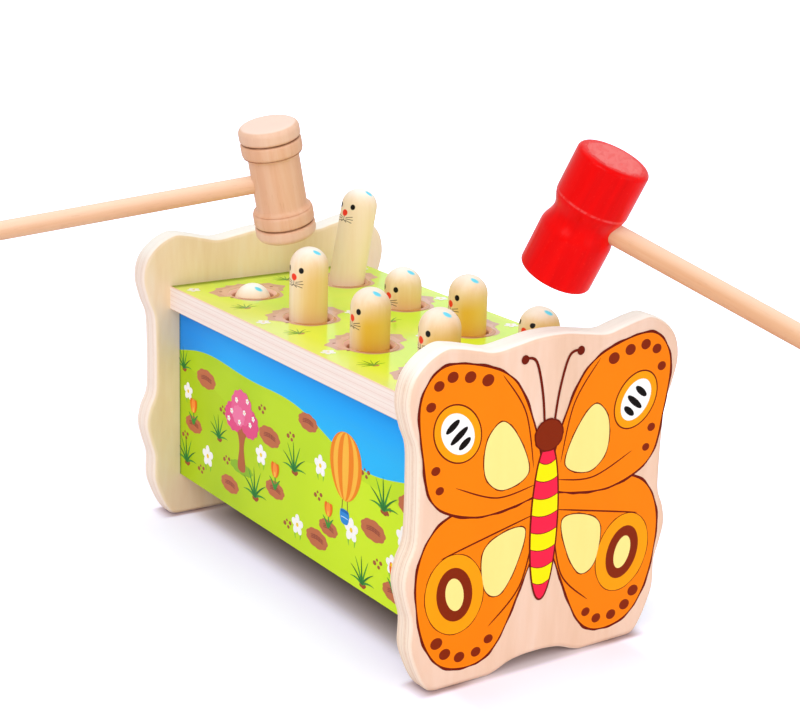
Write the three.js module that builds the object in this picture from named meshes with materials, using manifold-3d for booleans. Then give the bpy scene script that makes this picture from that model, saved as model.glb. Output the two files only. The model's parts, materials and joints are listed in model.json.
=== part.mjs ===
// Wooden whack-a-mole toy: a plywood box with eight pegs that rise and fall in pairs, and two mallets.
// Millimetres, +Z up, X across the toy, Y from front to rear.
// The origin is the centre of the deck's top face.

import * as THREE from "three";
import { mergeVertices } from "three/addons/utils/BufferGeometryUtils.js";
import Module from "manifold-3d";

const wasm = await Module();
wasm.setup();

// Box
const deckWidth = 120;
const deckThickness = 12.7;
const deckTopHeight = 130;
const boxLength = 232.3;
const deckUnderside = deckTopHeight - deckThickness;

// End panels
const panelThickness = 12.5;
const panelOverhang = 15.8;
const panelRise = 27.3;
const panelHalfWidth = deckWidth / 2 + panelOverhang;
const panelHeight = deckTopHeight + panelRise;
const panelEdgeRadius = 2.4;

// Side panels and bottom board
const sideInset = 5.3;
const sideThickness = 6;
const sideBottomHeight = 23.8;
const boardThickness = 4;
const boardHeight = 29;
const grooveDepth = 2.5;

// Mole pegs
const pegRadius = 9.6;
const pegFootChamfer = 1;
const pegSegments = 24;
const domeRings = 5;
const rowCount = 4;
const holeToSideEdge = 31.5;
const holeToEndEdge = 32.6;
const columnSpacing = deckWidth - 2 * holeToSideEdge;
const rowPitch = (boxLength - 2 * holeToEndEdge) / (rowCount - 1);
const holeRadius = 11;
const countersinkRadius = 12.6;
const countersinkDepth = 1.3;
const levelHeight = 27.8;
const pegStroke = 22.65;
const tallPegLean = THREE.MathUtils.degToRad(10);

// Rocking mechanism
const rodRadius = 3;
const rodSeat = 8;
const pivotBelowDeck = 54;
const pivotHeight = deckTopHeight - pivotBelowDeck;
const armPastPeg = 9.5;
const rockerReach = columnSpacing / 2 + armPastPeg;
const rockerHubRadius = 9;
const rockerEndRadius = 6.5;
const rockerThickness = 8;
const rockerSideGap = 0.8;
const crossDowelRadius = 4;
const crossDowelPastPeg = 8;
const pegStandGap = 0.85;
const sleeveRadius = 5.5;

// Joinery dowels between the boards and the end panels
const joinDowelRadius = 2;
const joinDowelLength = 20;
const joinDowelToEdge = 20;
const joinDowelEndGap = 0.5;

// Mallets
const naturalHead = {
  radius: 15.35, length: 60.2, edgeRadius: 2, waistRadius: 12.9, discLength: 7.7, bandLength: 7.6,
};
const redHead = { radius: 16.5, length: 59.4, edgeRadius: 1.8, waistRadius: 14.2, grooveLength: 15 };
const naturalHandle = { radius: 4.65, length: 190 };
const redHandle = { radius: 5, length: 190 };
const gripEndRadius = 2;
const handleBoreDepthShare = 0.6;
const grooveRadius = 0.55;
const grooveLipShare = 0.25;

// Fits
const seatGap = 0.3;
const runningGap = 0.08;
const glueGap = 0.05;
const overrun = 5;
const roundSegments = 16;
const dowelSegments = 12;
const holeSegments = 24;
const headSegments = 28;
const edgeSteps = 3;
const redGrooveSteps = 6;

// Half outline of an end panel, from the middle of the foot arch to the middle of the top:
// shares of the half width and of the height, joined by a smooth curve.
const archShares = [
  [0, 0.035], [0.1, 0.033], [0.2, 0.025], [0.29, 0.008],
];
const flankShares = [
  [0.79, 0.009], [0.845, 0.044], [0.9, 0.102], [0.928, 0.152], [0.927, 0.229], [0.957, 0.28],
  [0.986, 0.343], [0.966, 0.4], [0.921, 0.451], [0.911, 0.51], [0.912, 0.635], [0.922, 0.725],
  [0.966, 0.783], [1, 0.855], [0.972, 0.922], [0.883, 0.971], [0.76, 1], [0.66, 0.997],
  [0.53, 0.983], [0.41, 0.971], [0.264, 0.98], [0.12, 0.991], [0, 0.994],
];
const footStartShare = 0.35;
const footEndShare = 0.735;
const curvePointsPerShare = 2;

const colours = {
  panel: 0xf3d9bf,
  deckPrint: 0xbfdc2e,
  sidePrint: 0x8fc83a,
  board: 0xe3c79c,
  peg: 0xf2dcae,
  beech: 0xe0b485,
  steel: 0xb9bcc0,
  red: 0xe01008,
};

function material(colour, roughness = 0.6, metalness = 0) {
  return new THREE.MeshStandardMaterial({ color: colour, roughness, metalness });
}

function closed(geometry) {
  const plain = geometry.clone();
  plain.deleteAttribute("normal");
  plain.deleteAttribute("uv");
  return mergeVertices(plain, 1e-4);
}

function solid(geometry) {
  const merged = closed(geometry);
  return new wasm.Manifold(new wasm.Mesh({
    numProp: 3,
    vertProperties: new Float32Array(merged.attributes.position.array),
    triVerts: new Uint32Array(merged.index.array),
  }));
}

function surface(body) {
  const mesh = body.getMesh();
  const geometry = new THREE.BufferGeometry();
  geometry.setAttribute("position", new THREE.BufferAttribute(mesh.vertProperties, mesh.numProp));
  geometry.setIndex(new THREE.BufferAttribute(mesh.triVerts, 1));
  return geometry;
}

function cut(geometry, tools) {
  return surface(tools.reduce((body, tool) => body.subtract(solid(tool)), solid(geometry)));
}

// A round bar along Y between two places.
function barAlongY(radius, start, end, segments = roundSegments) {
  return new THREE.CylinderGeometry(radius, radius, end - start, segments).translate(0, (start + end) / 2, 0);
}

// A profile turned about Z: its points are [radius, height].
function turned(points, segments) {
  const geometry = new THREE.LatheGeometry(points.map(([r, z]) => new THREE.Vector2(r, z)), segments);
  return geometry.rotateX(Math.PI / 2);
}

// A hole keeps its clearance at the flats of both polygons.
function boreRadius(radius, gap, segments = roundSegments) {
  return (radius + gap) / Math.cos(Math.PI / segments);
}

// An outline in the X-Z plane, extruded along Y between two places.
function extrudedAlongY(shape, start, end, edgeRadius = 0) {
  const geometry = new THREE.ExtrudeGeometry(shape, {
    depth: end - start - 2 * edgeRadius,
    bevelEnabled: edgeRadius > 0,
    bevelThickness: edgeRadius,
    bevelSize: edgeRadius,
    bevelOffset: -edgeRadius,
    bevelSegments: 2,
    curveSegments: roundSegments / 2,
  });
  return geometry.translate(0, 0, edgeRadius).rotateX(Math.PI / 2).translate(0, end, 0);
}

const group = new THREE.Group();
group.position.z = -deckTopHeight;

function add(name, geometry, look, parent = group) {
  const mesh = new THREE.Mesh(geometry, look);
  mesh.name = name;
  parent.add(mesh);
  return mesh;
}

const frontInnerFace = -boxLength / 2;
const rearInnerFace = boxLength / 2;
const sideOuterFace = deckWidth / 2 - sideInset;
const sideInnerFace = sideOuterFace - sideThickness;
const holeMiddleHeight = (deckUnderside + deckTopHeight - countersinkDepth) / 2;
const rowPlaces = Array.from({ length: rowCount }, (_, row) => ((rowCount - 1) / 2 - row) * rowPitch);
const columnPlaces = [-columnSpacing / 2, columnSpacing / 2];

function panelShape() {
  const place = ([x, z]) => new THREE.Vector2(x * panelHalfWidth, z * panelHeight);
  const half = [
    ...new THREE.SplineCurve([...archShares.map(place), place([footStartShare, 0])])
      .getPoints(archShares.length * curvePointsPerShare),
    ...new THREE.SplineCurve([place([footEndShare, 0]), ...flankShares.map(place)])
      .getPoints(flankShares.length * curvePointsPerShare),
  ];
  const otherHalf = half.slice(1, -1).reverse().map((point) => new THREE.Vector2(-point.x, point.y));
  return new THREE.Shape([...half, ...otherHalf]);
}

function joinDowelPlaces() {
  const underDeck = deckUnderside + deckThickness / 2;
  const sideMiddle = (sideInnerFace + sideOuterFace) / 2;
  const sideHeights = [sideBottomHeight + joinDowelToEdge, deckUnderside - joinDowelToEdge];
  const deckPlace = deckWidth / 2 - joinDowelToEdge;
  return [
    [-deckPlace, underDeck],
    [deckPlace, underDeck],
    ...[-sideMiddle, sideMiddle].flatMap((x) => sideHeights.map((z) => [x, z])),
  ];
}

// Seats for the joinery dowels in either end of the box: blind holes across the joint.
function joinDowelSeats(face) {
  const radius = boreRadius(joinDowelRadius, glueGap, dowelSegments);
  const reach = joinDowelLength / 2;
  return joinDowelPlaces().map(([x, z]) =>
    barAlongY(radius, face - reach, face + reach, dowelSegments).translate(x, 0, z));
}

function endPanel(face, outward) {
  const outer = face + outward * panelThickness;
  const board = extrudedAlongY(panelShape(), Math.min(face, outer), Math.max(face, outer), panelEdgeRadius);
  const seatEnd = face + outward * rodSeat;
  const rodHole = barAlongY(boreRadius(rodRadius, glueGap), Math.min(face - outward * overrun, seatEnd),
    Math.max(face - outward * overrun, seatEnd)).translate(0, 0, pivotHeight);
  return cut(board, [rodHole, ...joinDowelSeats(face)]);
}

function deckBoard() {
  const outline = new THREE.Shape([
    new THREE.Vector2(-deckWidth / 2, deckUnderside),
    new THREE.Vector2(deckWidth / 2, deckUnderside),
    new THREE.Vector2(deckWidth / 2, deckTopHeight),
    new THREE.Vector2(-deckWidth / 2, deckTopHeight),
  ]);
  const board = extrudedAlongY(outline, frontInnerFace, rearInnerFace);
  const flare = (countersinkRadius - holeRadius) / countersinkDepth;
  const hole = turned([
    [0, deckUnderside - overrun],
    [holeRadius, deckUnderside - overrun],
    [holeRadius, deckTopHeight - countersinkDepth],
    [countersinkRadius + flare * overrun, deckTopHeight + overrun],
    [0, deckTopHeight + overrun],
  ], holeSegments);
  const holes = rowPlaces.flatMap((y) => columnPlaces.map((x) => hole.clone().translate(x, y, 0)));
  return cut(board, [...holes, ...joinDowelSeats(frontInnerFace), ...joinDowelSeats(rearInnerFace)]);
}

// The side panel's section has a groove on its inner face for the bottom board.
function sidePanel(side) {
  const grooveBottom = boardHeight - glueGap;
  const grooveTop = boardHeight + boardThickness + glueGap;
  const section = [
    [sideInnerFace, sideBottomHeight],
    [sideOuterFace, sideBottomHeight],
    [sideOuterFace, deckUnderside],
    [sideInnerFace, deckUnderside],
    [sideInnerFace, grooveTop],
    [sideInnerFace + grooveDepth, grooveTop],
    [sideInnerFace + grooveDepth, grooveBottom],
    [sideInnerFace, grooveBottom],
  ].map(([x, z]) => new THREE.Vector2(side * x, z));
  const board = extrudedAlongY(new THREE.Shape(section), frontInnerFace, rearInnerFace);
  return cut(board, [...joinDowelSeats(frontInnerFace), ...joinDowelSeats(rearInnerFace)]);
}

function bottomBoard() {
  const width = 2 * (sideInnerFace + grooveDepth - seatGap);
  return new THREE.BoxGeometry(width, boxLength - 2 * seatGap, boardThickness)
    .translate(0, 0, boardHeight + boardThickness / 2);
}

function addBox() {
  add("front_end_panel", endPanel(frontInnerFace, -1), material(colours.panel, 0.55));
  add("rear_end_panel", endPanel(rearInnerFace, 1), material(colours.panel, 0.55));
  add("deck_board", deckBoard(), material(colours.deckPrint, 0.5));
  add("left_side_panel", sidePanel(-1), material(colours.sidePrint, 0.45));
  add("right_side_panel", sidePanel(1), material(colours.sidePrint, 0.45));
  add("bottom_board", bottomBoard(), material(colours.board, 0.7));
  addJoinDowels();
}

function addJoinDowels() {
  const reach = joinDowelLength / 2 - joinDowelEndGap;
  [[frontInnerFace, "front"], [rearInnerFace, "rear"]].forEach(([face, end]) => {
    joinDowelPlaces().forEach(([x, z], index) => {
      const dowel = barAlongY(joinDowelRadius, face - reach, face + reach, dowelSegments).translate(x, 0, z);
      add(`${end}_join_dowel_${index + 1}`, dowel, material(colours.beech, 0.7));
    });
  });
}

// How far a peg's foot stands above the pivot when its arm is turned up by this angle.
function footHeight(armAngle) {
  return rockerReach * Math.sin(armAngle) + crossDowelRadius + pegStandGap;
}

const pegLength = deckTopHeight + levelHeight - pivotHeight - footHeight(0);
const fullTurn = Math.asin(pegStroke / rockerReach);

// How far each rocker is turned at rest, as a share of its full turn: the left arm up is positive.
const rockerTurnShares = [-1, 0.336, 0, 0.13];
const rockerTurns = rockerTurnShares.map((share) => share * fullTurn);

// A turned peg with a domed head, standing on its foot at height zero.
function molePeg() {
  const domeCentre = pegLength - pegRadius;
  const dome = Array.from({ length: domeRings + 1 }, (_, ring) => {
    const angle = ring / domeRings * Math.PI / 2;
    return [ring < domeRings ? pegRadius * Math.cos(angle) : 0, domeCentre + pegRadius * Math.sin(angle)];
  });
  const foot = [[0, 0], [pegRadius - pegFootChamfer, 0], [pegRadius, pegFootChamfer]];
  return turned([...foot, ...dome], pegSegments);
}

// The lowest place of a leaning peg's foot along its axis, measured from the middle of its hole.
function leaningFootDrop(armAngle, lean, side) {
  const axis = new THREE.Vector2(side * Math.sin(lean), Math.cos(lean));
  const noseX = rockerReach * Math.cos(armAngle) * side - side * columnSpacing / 2;
  const noseZ = pivotHeight + rockerReach * Math.sin(armAngle) - holeMiddleHeight;
  return -(noseX * axis.x + noseZ * axis.y) - crossDowelRadius - pegStandGap;
}

function addMoles() {
  const geometry = molePeg();
  const names = [["rear_left", "rear_right"], ["middle_rear_left", "middle_rear_right"],
    ["middle_front_left", "middle_front_right"], ["front_left", "front_right"]];
  rowPlaces.forEach((y, row) => {
    columnPlaces.forEach((x, column) => {
      const side = Math.sign(x);
      const armAngle = -side * rockerTurns[row];
      const name = `mole_${names[row][column]}`;
      if (row === 0 && side > 0) {
        const drop = leaningFootDrop(armAngle, tallPegLean, side);
        const lean = new THREE.Group();
        lean.position.set(x, y, holeMiddleHeight);
        lean.rotation.y = side * tallPegLean;
        group.add(lean);
        add(name, geometry.clone(), material(colours.peg, 0.5), lean).position.z = -drop;
      } else {
        const mole = add(name, geometry.clone(), material(colours.peg, 0.5));
        mole.position.set(x, y, pivotHeight + footHeight(armAngle));
      }
    });
  });
}

// A rocker bar: a round hub and two round ends joined by straight tapers, about a pivot at the origin.
function rockerShape() {
  const taper = Math.asin((rockerHubRadius - rockerEndRadius) / rockerReach);
  const shape = new THREE.Shape();
  shape.absarc(rockerReach, 0, rockerEndRadius, -Math.PI / 2 + taper, Math.PI / 2 - taper, false);
  shape.absarc(0, 0, rockerHubRadius, Math.PI / 2 - taper, Math.PI / 2 + taper, false);
  shape.absarc(-rockerReach, 0, rockerEndRadius, Math.PI / 2 + taper, 3 * Math.PI / 2 - taper, false);
  shape.absarc(0, 0, rockerHubRadius, 3 * Math.PI / 2 - taper, 3 * Math.PI / 2 + taper, false);
  return shape;
}

function addRockers() {
  rowPlaces.forEach((y, row) => {
    const start = pegRadius + rockerSideGap;
    const end = start + rockerThickness;
    const tilt = new THREE.Group();
    tilt.position.set(0, y, pivotHeight);
    tilt.rotation.y = rockerTurns[row];
    group.add(tilt);
    const rodHole = barAlongY(boreRadius(rodRadius, runningGap), start - overrun, end + overrun);
    const dowelHoles = [-rockerReach, rockerReach].map((x) =>
      barAlongY(boreRadius(crossDowelRadius, glueGap), start - overrun, end + overrun).translate(x, 0, 0));
    const bar = cut(extrudedAlongY(rockerShape(), start, end), [rodHole, ...dowelHoles]);
    add(`rocker_${row + 1}`, bar, material(colours.beech, 0.7), tilt);
    [["left", -rockerReach], ["right", rockerReach]].forEach(([side, x]) => {
      const dowel = barAlongY(crossDowelRadius, -crossDowelPastPeg, end).translate(x, 0, 0);
      add(`rocker_${row + 1}_${side}_dowel`, dowel, material(colours.beech, 0.7), tilt);
    });
  });
}

function addPivotRod() {
  const reach = boxLength / 2 + rodSeat - seatGap;
  add("pivot_rod", barAlongY(rodRadius, -reach, reach).translate(0, 0, pivotHeight),
    material(colours.steel, 0.35, 1));
}

// Sleeves on the rod keep the rockers apart.
function addSleeves() {
  const bars = rowPlaces.map((y) => y + pegRadius + rockerSideGap).reverse();
  const starts = [frontInnerFace, ...bars.map((y) => y + rockerThickness)];
  const ends = [...bars, rearInnerFace];
  starts.forEach((start, index) => {
    const from = start + seatGap;
    const to = ends[index] - seatGap;
    const inner = boreRadius(rodRadius, runningGap);
    const tube = turned([[inner, 0], [sleeveRadius, 0], [sleeveRadius, to - from], [inner, to - from], [inner, 0]],
      roundSegments).rotateX(-Math.PI / 2).translate(0, from, pivotHeight);
    add(`rod_sleeve_${index + 1}`, tube, material(colours.beech, 0.7));
  });
}

// A quarter round between two directions, as profile points about a centre.
function arcPoints(r, z, radius, from, to, steps) {
  return Array.from({ length: steps + 1 }, (_, step) => {
    const angle = THREE.MathUtils.degToRad(from + (to - from) * step / steps);
    return [r + radius * Math.cos(angle), z + radius * Math.sin(angle)];
  });
}

// Natural head: end discs, burnt grooves and bead bands over a slimmer barrel. Upper half of the profile.
function naturalHeadProfile() {
  const { radius, length, edgeRadius, waistRadius, discLength, bandLength } = naturalHead;
  const fillet = radius - waistRadius;
  const grooveZ = length / 2 - discLength;
  const bandEnd = grooveZ - bandLength;
  const lip = edgeRadius * grooveLipShare;
  const upper = [
    ...arcPoints(radius, bandEnd - fillet, fillet, 180, 90, edgeSteps).slice(0, -1),
    [radius - lip, bandEnd],
    [radius, bandEnd + 2 * lip],
    [radius, grooveZ - 2 * lip - grooveRadius],
    [radius - lip, grooveZ - grooveRadius],
    [radius - 2 * grooveRadius, grooveZ],
    [radius - lip, grooveZ + grooveRadius],
    [radius, grooveZ + 2 * lip + grooveRadius],
    ...arcPoints(radius - edgeRadius, length / 2 - edgeRadius, edgeRadius, 0, 90, edgeSteps),
  ];
  const lower = upper.map(([r, z]) => [r, -z]).reverse();
  return [[0, -length / 2], ...lower, ...upper, [0, length / 2]];
}

// Red head: a plain cylinder with a rounded groove round its middle, where the handle goes in.
function redHeadProfile() {
  const { radius, length, edgeRadius, waistRadius, grooveLength } = redHead;
  const depth = radius - waistRadius;
  const groove = Array.from({ length: redGrooveSteps + 1 }, (_, step) => {
    const along = step / redGrooveSteps - 1 / 2;
    return [radius - depth * (Math.cos(along * Math.PI * 2) + 1) / 2, along * grooveLength];
  });
  return [
    [0, -length / 2],
    ...arcPoints(radius - edgeRadius, edgeRadius - length / 2, edgeRadius, -90, 0, edgeSteps),
    ...groove,
    ...arcPoints(radius - edgeRadius, length / 2 - edgeRadius, edgeRadius, 0, 90, edgeSteps),
    [0, length / 2],
  ];
}

// A straight handle along +X with a round grip end, its shank seated in the head's bore.
function handle(shaft, start) {
  const profile = [
    [0, start],
    [shaft.radius, start],
    ...arcPoints(shaft.radius - gripEndRadius, shaft.length - gripEndRadius, gripEndRadius, 0, 90, edgeSteps),
    [0, shaft.length],
  ];
  return turned(profile, roundSegments).rotateY(Math.PI / 2);
}

function addMallet(name, head, headProfile, shaft, pose, looks) {
  const boreStart = head.waistRadius * (1 - 2 * handleBoreDepthShare);
  const bore = turned([
    [0, boreStart - seatGap], [boreRadius(shaft.radius, glueGap), boreStart - seatGap],
    [boreRadius(shaft.radius, glueGap), head.radius + overrun], [0, head.radius + overrun],
  ], roundSegments).rotateY(Math.PI / 2);
  const axis = new THREE.Vector3(...pose.axis).normalize();
  const along = new THREE.Vector3(...pose.handle);
  along.addScaledVector(axis, -along.dot(axis)).normalize();
  const frame = new THREE.Matrix4().makeBasis(along, new THREE.Vector3().crossVectors(axis, along), axis);
  const mallet = new THREE.Group();
  mallet.quaternion.setFromRotationMatrix(frame);
  const [acrossShare, alongShare] = pose.placeShares;
  mallet.position.set(acrossShare * deckWidth, alongShare * boxLength, panelHeight + pose.abovePanels);
  group.add(mallet);
  add(`${name}_mallet_head`, cut(turned(headProfile, headSegments), [bore]), looks.head, mallet);
  add(`${name}_mallet_handle`, handle(shaft, boreStart), looks.handle, mallet);
}

// Where the two mallets hover: the middle of the head, as shares of the deck's width and length
// and as a height above the end panels, with the direction of its axis and that of its handle.
const naturalPose = {
  placeShares: [-0.2558, 0.2402],
  abovePanels: 37.3,
  axis: [-0.2391, -0.0651, 0.9688],
  handle: [-0.8789, 0.4386, -0.1874],
};
const redPose = {
  placeShares: [0.095, -0.5596],
  abovePanels: 49.4,
  axis: [0.1771, -0.3823, 0.9069],
  handle: [0.5792, -0.7046, -0.4101],
};

addBox();
addPivotRod();
addSleeves();
addRockers();
addMoles();
addMallet("natural", naturalHead, naturalHeadProfile(), naturalHandle, naturalPose,
  { head: material(colours.beech, 0.55), handle: material(colours.beech, 0.55) });
addMallet("red", redHead, redHeadProfile(), redHandle, redPose,
  { head: material(colours.red, 0.3), handle: material(colours.beech, 0.55) });

export default group;
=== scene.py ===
"""The looks of a wooden whack-a-mole toy: plywood box, printed boards, eight mole pegs and two mallets."""

import json
import math

import bmesh
import bpy
import numpy as np
from mathutils import Matrix, Vector

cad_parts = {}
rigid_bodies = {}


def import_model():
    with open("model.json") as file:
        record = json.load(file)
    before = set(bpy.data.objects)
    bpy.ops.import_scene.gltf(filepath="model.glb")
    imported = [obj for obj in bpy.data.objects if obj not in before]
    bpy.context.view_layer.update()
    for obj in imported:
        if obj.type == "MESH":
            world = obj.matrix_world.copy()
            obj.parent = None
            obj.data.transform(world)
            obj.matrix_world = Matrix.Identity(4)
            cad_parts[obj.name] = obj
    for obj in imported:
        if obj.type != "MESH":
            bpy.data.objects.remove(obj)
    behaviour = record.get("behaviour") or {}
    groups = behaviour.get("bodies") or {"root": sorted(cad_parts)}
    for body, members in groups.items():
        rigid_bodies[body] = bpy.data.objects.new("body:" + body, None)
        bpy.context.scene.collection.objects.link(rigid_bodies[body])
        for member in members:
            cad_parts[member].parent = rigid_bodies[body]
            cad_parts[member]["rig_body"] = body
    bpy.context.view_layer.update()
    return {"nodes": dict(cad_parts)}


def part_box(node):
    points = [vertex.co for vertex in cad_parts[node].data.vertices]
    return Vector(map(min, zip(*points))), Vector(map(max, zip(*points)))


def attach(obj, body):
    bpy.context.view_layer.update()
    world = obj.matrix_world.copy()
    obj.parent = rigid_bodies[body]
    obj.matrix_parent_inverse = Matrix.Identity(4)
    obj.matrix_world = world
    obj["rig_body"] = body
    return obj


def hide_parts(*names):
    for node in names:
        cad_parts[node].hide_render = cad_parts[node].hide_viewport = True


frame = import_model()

# Units: shapes are worked out in millimetres and written to the meshes in metres.
MM = 0.001


def box_mm(node):
    """Lowest and highest corner of a node of the frame, in millimetres."""
    low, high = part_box(node)
    return np.array(low) / MM, np.array(high) / MM


# Driving places, read from the frame
deck_low, deck_high = box_mm("deck_board")
front_low, front_high = box_mm("front_end_panel")
rear_low, rear_high = box_mm("rear_end_panel")
side_low, side_high = box_mm("left_side_panel")
floor_height = front_low[2]
panel_height = front_high[2] - front_low[2]
panel_half_width = front_high[0]
side_height = side_high[2] - side_low[2]

# Finer sizes of the visible pieces
PANEL_EDGE_RADIUS = 2.6
DECK_EDGE_RADIUS = 0.7
HOLE_RADIUS = 11
COUNTERSINK_RADIUS = 12.6
COUNTERSINK_DEPTH = 1.3
COLUMN_PLACE = 28.5
ROW_PITCH = 55.7
ROW_PLACES = [share * ROW_PITCH for share in (1.5, 0.5, -0.5, -1.5)]
PEG_RADIUS = 9.6
PEG_LENGTH = 77.0
TALL_PEG_LEAN = math.radians(10)
NATURAL_HEAD_HALF = 30.1
GROOVE_PLACE, GROOVE_WIDTH = NATURAL_HEAD_HALF - 7.7, 0.9
RED_HEAD_HALF, RED_WAIST_REACH = 29.7, 8.5
HANDLE_START, HANDLE_LENGTH = 10.5, 190
INK_LAYER = 0.04

WHITE = "#FFFFFF"


def srgb(code):
    """A web colour as linear red, green, blue and alpha."""
    parts = [int(code[place:place + 2], 16) / 255 for place in (1, 3, 5)]
    return (*[p / 12.92 if p <= 0.04045 else ((p + 0.055) / 1.055) ** 2.4 for p in parts], 1.0)


def feed(tree, socket, item):
    """Links a value or another socket to a socket, or sets it to a number, a vector or a web colour."""
    if isinstance(item, Value):
        item = item.socket
    if isinstance(item, bpy.types.NodeSocket):
        tree.links.new(item, socket)
    else:
        socket.default_value = srgb(item) if isinstance(item, str) else item


def add_node(tree, kind, settings=None, sockets=None):
    """Adds a node: its settings first, then what feeds each of its sockets, by name or number."""
    node = tree.nodes.new(kind)
    for setting, choice in (settings or {}).items():
        if setting == "stops":
            set_stops(node.color_ramp, choice)
        else:
            setattr(node, setting, choice)
    for socket, item in (sockets or {}).items():
        feed(tree, node.inputs[socket], item)
    return node


def set_stops(ramp, stops):
    """Puts the colours of a colour ramp at their places."""
    while len(ramp.elements) < len(stops):
        ramp.elements.new(0.5)
    for element, (place, colour) in zip(ramp.elements, stops):
        element.position = place
        element.color = srgb(colour)


class Value:
    """A number socket of a material. Python's operators on it add Math nodes."""

    def __init__(self, tree, socket):
        self.tree = tree
        self.socket = socket

    def maths(self, operation, *items):
        """A Math node on the items, which are values or numbers."""
        node = add_node(self.tree, "ShaderNodeMath", {"operation": operation}, dict(enumerate(items)))
        return Value(self.tree, node.outputs[0])

    def __add__(self, other):
        return self.maths("ADD", self, other)

    __radd__ = __add__

    def __sub__(self, other):
        return self.maths("SUBTRACT", self, other)

    def __rsub__(self, other):
        return self.maths("SUBTRACT", other, self)

    def __mul__(self, other):
        return self.maths("MULTIPLY", self, other)

    __rmul__ = __mul__

    def __truediv__(self, other):
        return self.maths("DIVIDE", self, other)

    def __abs__(self):
        return self.maths("ABSOLUTE", self)

    def sine(self):
        return self.maths("SINE", self)

    def root(self):
        return self.maths("SQRT", self)

    def fraction(self):
        return self.maths("FRACT", self)

    def lower(self, other):
        return self.maths("MINIMUM", self, other)

    def higher(self, other):
        return self.maths("MAXIMUM", self, other)

    def rise(self, start, end):
        """0 below start, 1 above end, with a smooth change between them; turned round where start > end."""
        sockets = {"Value": self, "From Min": min(start, end), "From Max": max(start, end),
                   "To Min": float(start > end), "To Max": float(start <= end)}
        node = add_node(self.tree, "ShaderNodeMapRange", {"interpolation_type": "SMOOTHSTEP"}, sockets)
        return Value(self.tree, node.outputs["Result"])


def how_far(dx, dy):
    """The length of a step in the plane, from its two parts."""
    return (dx * dx + dy * dy).root()


class Finish:
    """One material: a Principled shader and the nodes that feed it."""

    def __init__(self, name, **looks):
        self.material = bpy.data.materials.new(name)
        self.material.use_nodes = True
        self.tree = self.material.node_tree
        self.shader = self.tree.nodes["Principled BSDF"]
        self.set(**looks)

    def set(self, **looks):
        """Feeds the shader's sockets, named with _ for spaces."""
        for name, item in looks.items():
            feed(self.tree, self.shader.inputs[name.replace("_", " ")], item)

    def node(self, kind, settings=None, sockets=None):
        return add_node(self.tree, kind, settings, sockets)

    def place(self):
        """The place of a point in the toy, in metres."""
        return self.node("ShaderNodeTexCoord").outputs["Object"]

    def split(self, vector, unit=MM):
        """The three numbers of a vector, in millimetres unless another unit is given."""
        parts = self.node("ShaderNodeSeparateXYZ", sockets={"Vector": vector})
        return [Value(self.tree, parts.outputs[axis]) * (1 / unit) for axis in "XYZ"]

    def print_places(self):
        """The piece's own map: millimetres across and along its surface."""
        uv = self.node("ShaderNodeUVMap", {"uv_map": "surface"}).outputs["UV"]
        return self.split(uv, unit=1)[:2]

    def turned(self, vector, matrix):
        """The vector in a frame that lies turned in the object: a Mapping node with the frame's inverse."""
        sockets = {"Vector": vector, "Rotation": tuple(matrix.inverted().to_euler("XYZ"))}
        return self.node("ShaderNodeMapping", {"vector_type": "POINT"}, sockets).outputs["Vector"]

    def noise(self, vector, scales, detail=2.0, roughness=0.5, distortion=0.0):
        """Cloudy noise from 0 to 1. Its scales along the three axes differ where it is longer one way."""
        scaled = self.node("ShaderNodeVectorMath", {"operation": "MULTIPLY"},
                           {0: vector, 1: tuple(np.ones(3) * scales)}).outputs["Vector"]
        sockets = {"Vector": scaled, "Scale": 1.0, "Detail": detail, "Roughness": roughness,
                   "Distortion": distortion}
        return Value(self.tree, self.node("ShaderNodeTexNoise", sockets=sockets).outputs[0])

    def mix(self, share, below, above, blend="MIX"):
        """A colour from below (share 0) to above (share 1)."""
        settings = {"data_type": "RGBA", "blend_type": blend}
        return self.node("ShaderNodeMix", settings, {0: share, 6: below, 7: above}).outputs[2]

    def layers(self, colour, *coats):
        """A colour with others laid over it in turn, each as its share and its colour."""
        for share, coat in coats:
            colour = self.mix(share, colour, coat)
        return colour

    def ramp(self, number, places, colours):
        """The colours at their places from 0 to 1, with an even change between them."""
        stops = list(zip(places, colours))
        return self.node("ShaderNodeValToRGB", {"stops": stops}, {"Fac": number}).outputs["Color"]

    def bumped(self, height, strength, depth):
        """The finished material, with a bump of the given strength and depth in metres."""
        sockets = {"Height": height, "Strength": strength, "Distance": depth}
        self.set(Normal=self.node("ShaderNodeBump", sockets=sockets).outputs["Normal"])
        return self.material


def curve(points, steps=8, closed=True):
    """A smooth line through the points: on each stretch a cubic whose slope at a point
    is half the way from the point before it to the point after it."""
    points = np.asarray(points, float)
    count = len(points)
    places = np.arange(count if closed else count - 1)
    pick = (lambda i: points[i % count]) if closed else (lambda i: points[np.clip(i, 0, count - 1)])
    before, start, end, after = (pick(places + shift)[:, None] for shift in (-1, 0, 1, 2))
    t = (np.arange(steps) / steps)[None, :, None]
    slope, next_slope = (end - before) / 2, (after - start) / 2
    line = ((2 * t**3 - 3 * t**2 + 1) * start + (t**3 - 2 * t**2 + t) * slope
            + (3 * t**2 - 2 * t**3) * end + (t**3 - t**2) * next_slope).reshape(-1, points.shape[1])
    return line if closed else np.vstack([line, points[-1:]])


def area(outline):
    """Half the sum of the cross products of neighbouring points: positive where the outline runs
    leftwards."""
    following = np.roll(outline, -1, 0)
    return (outline[:, 0] * following[:, 1] - outline[:, 1] * following[:, 0]).sum() / 2


def right_of(along):
    """The unit direction to the right of each step of a line."""
    return np.stack([along[:, 1], -along[:, 0]], 1) / np.linalg.norm(along, axis=1)[:, None]


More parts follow.
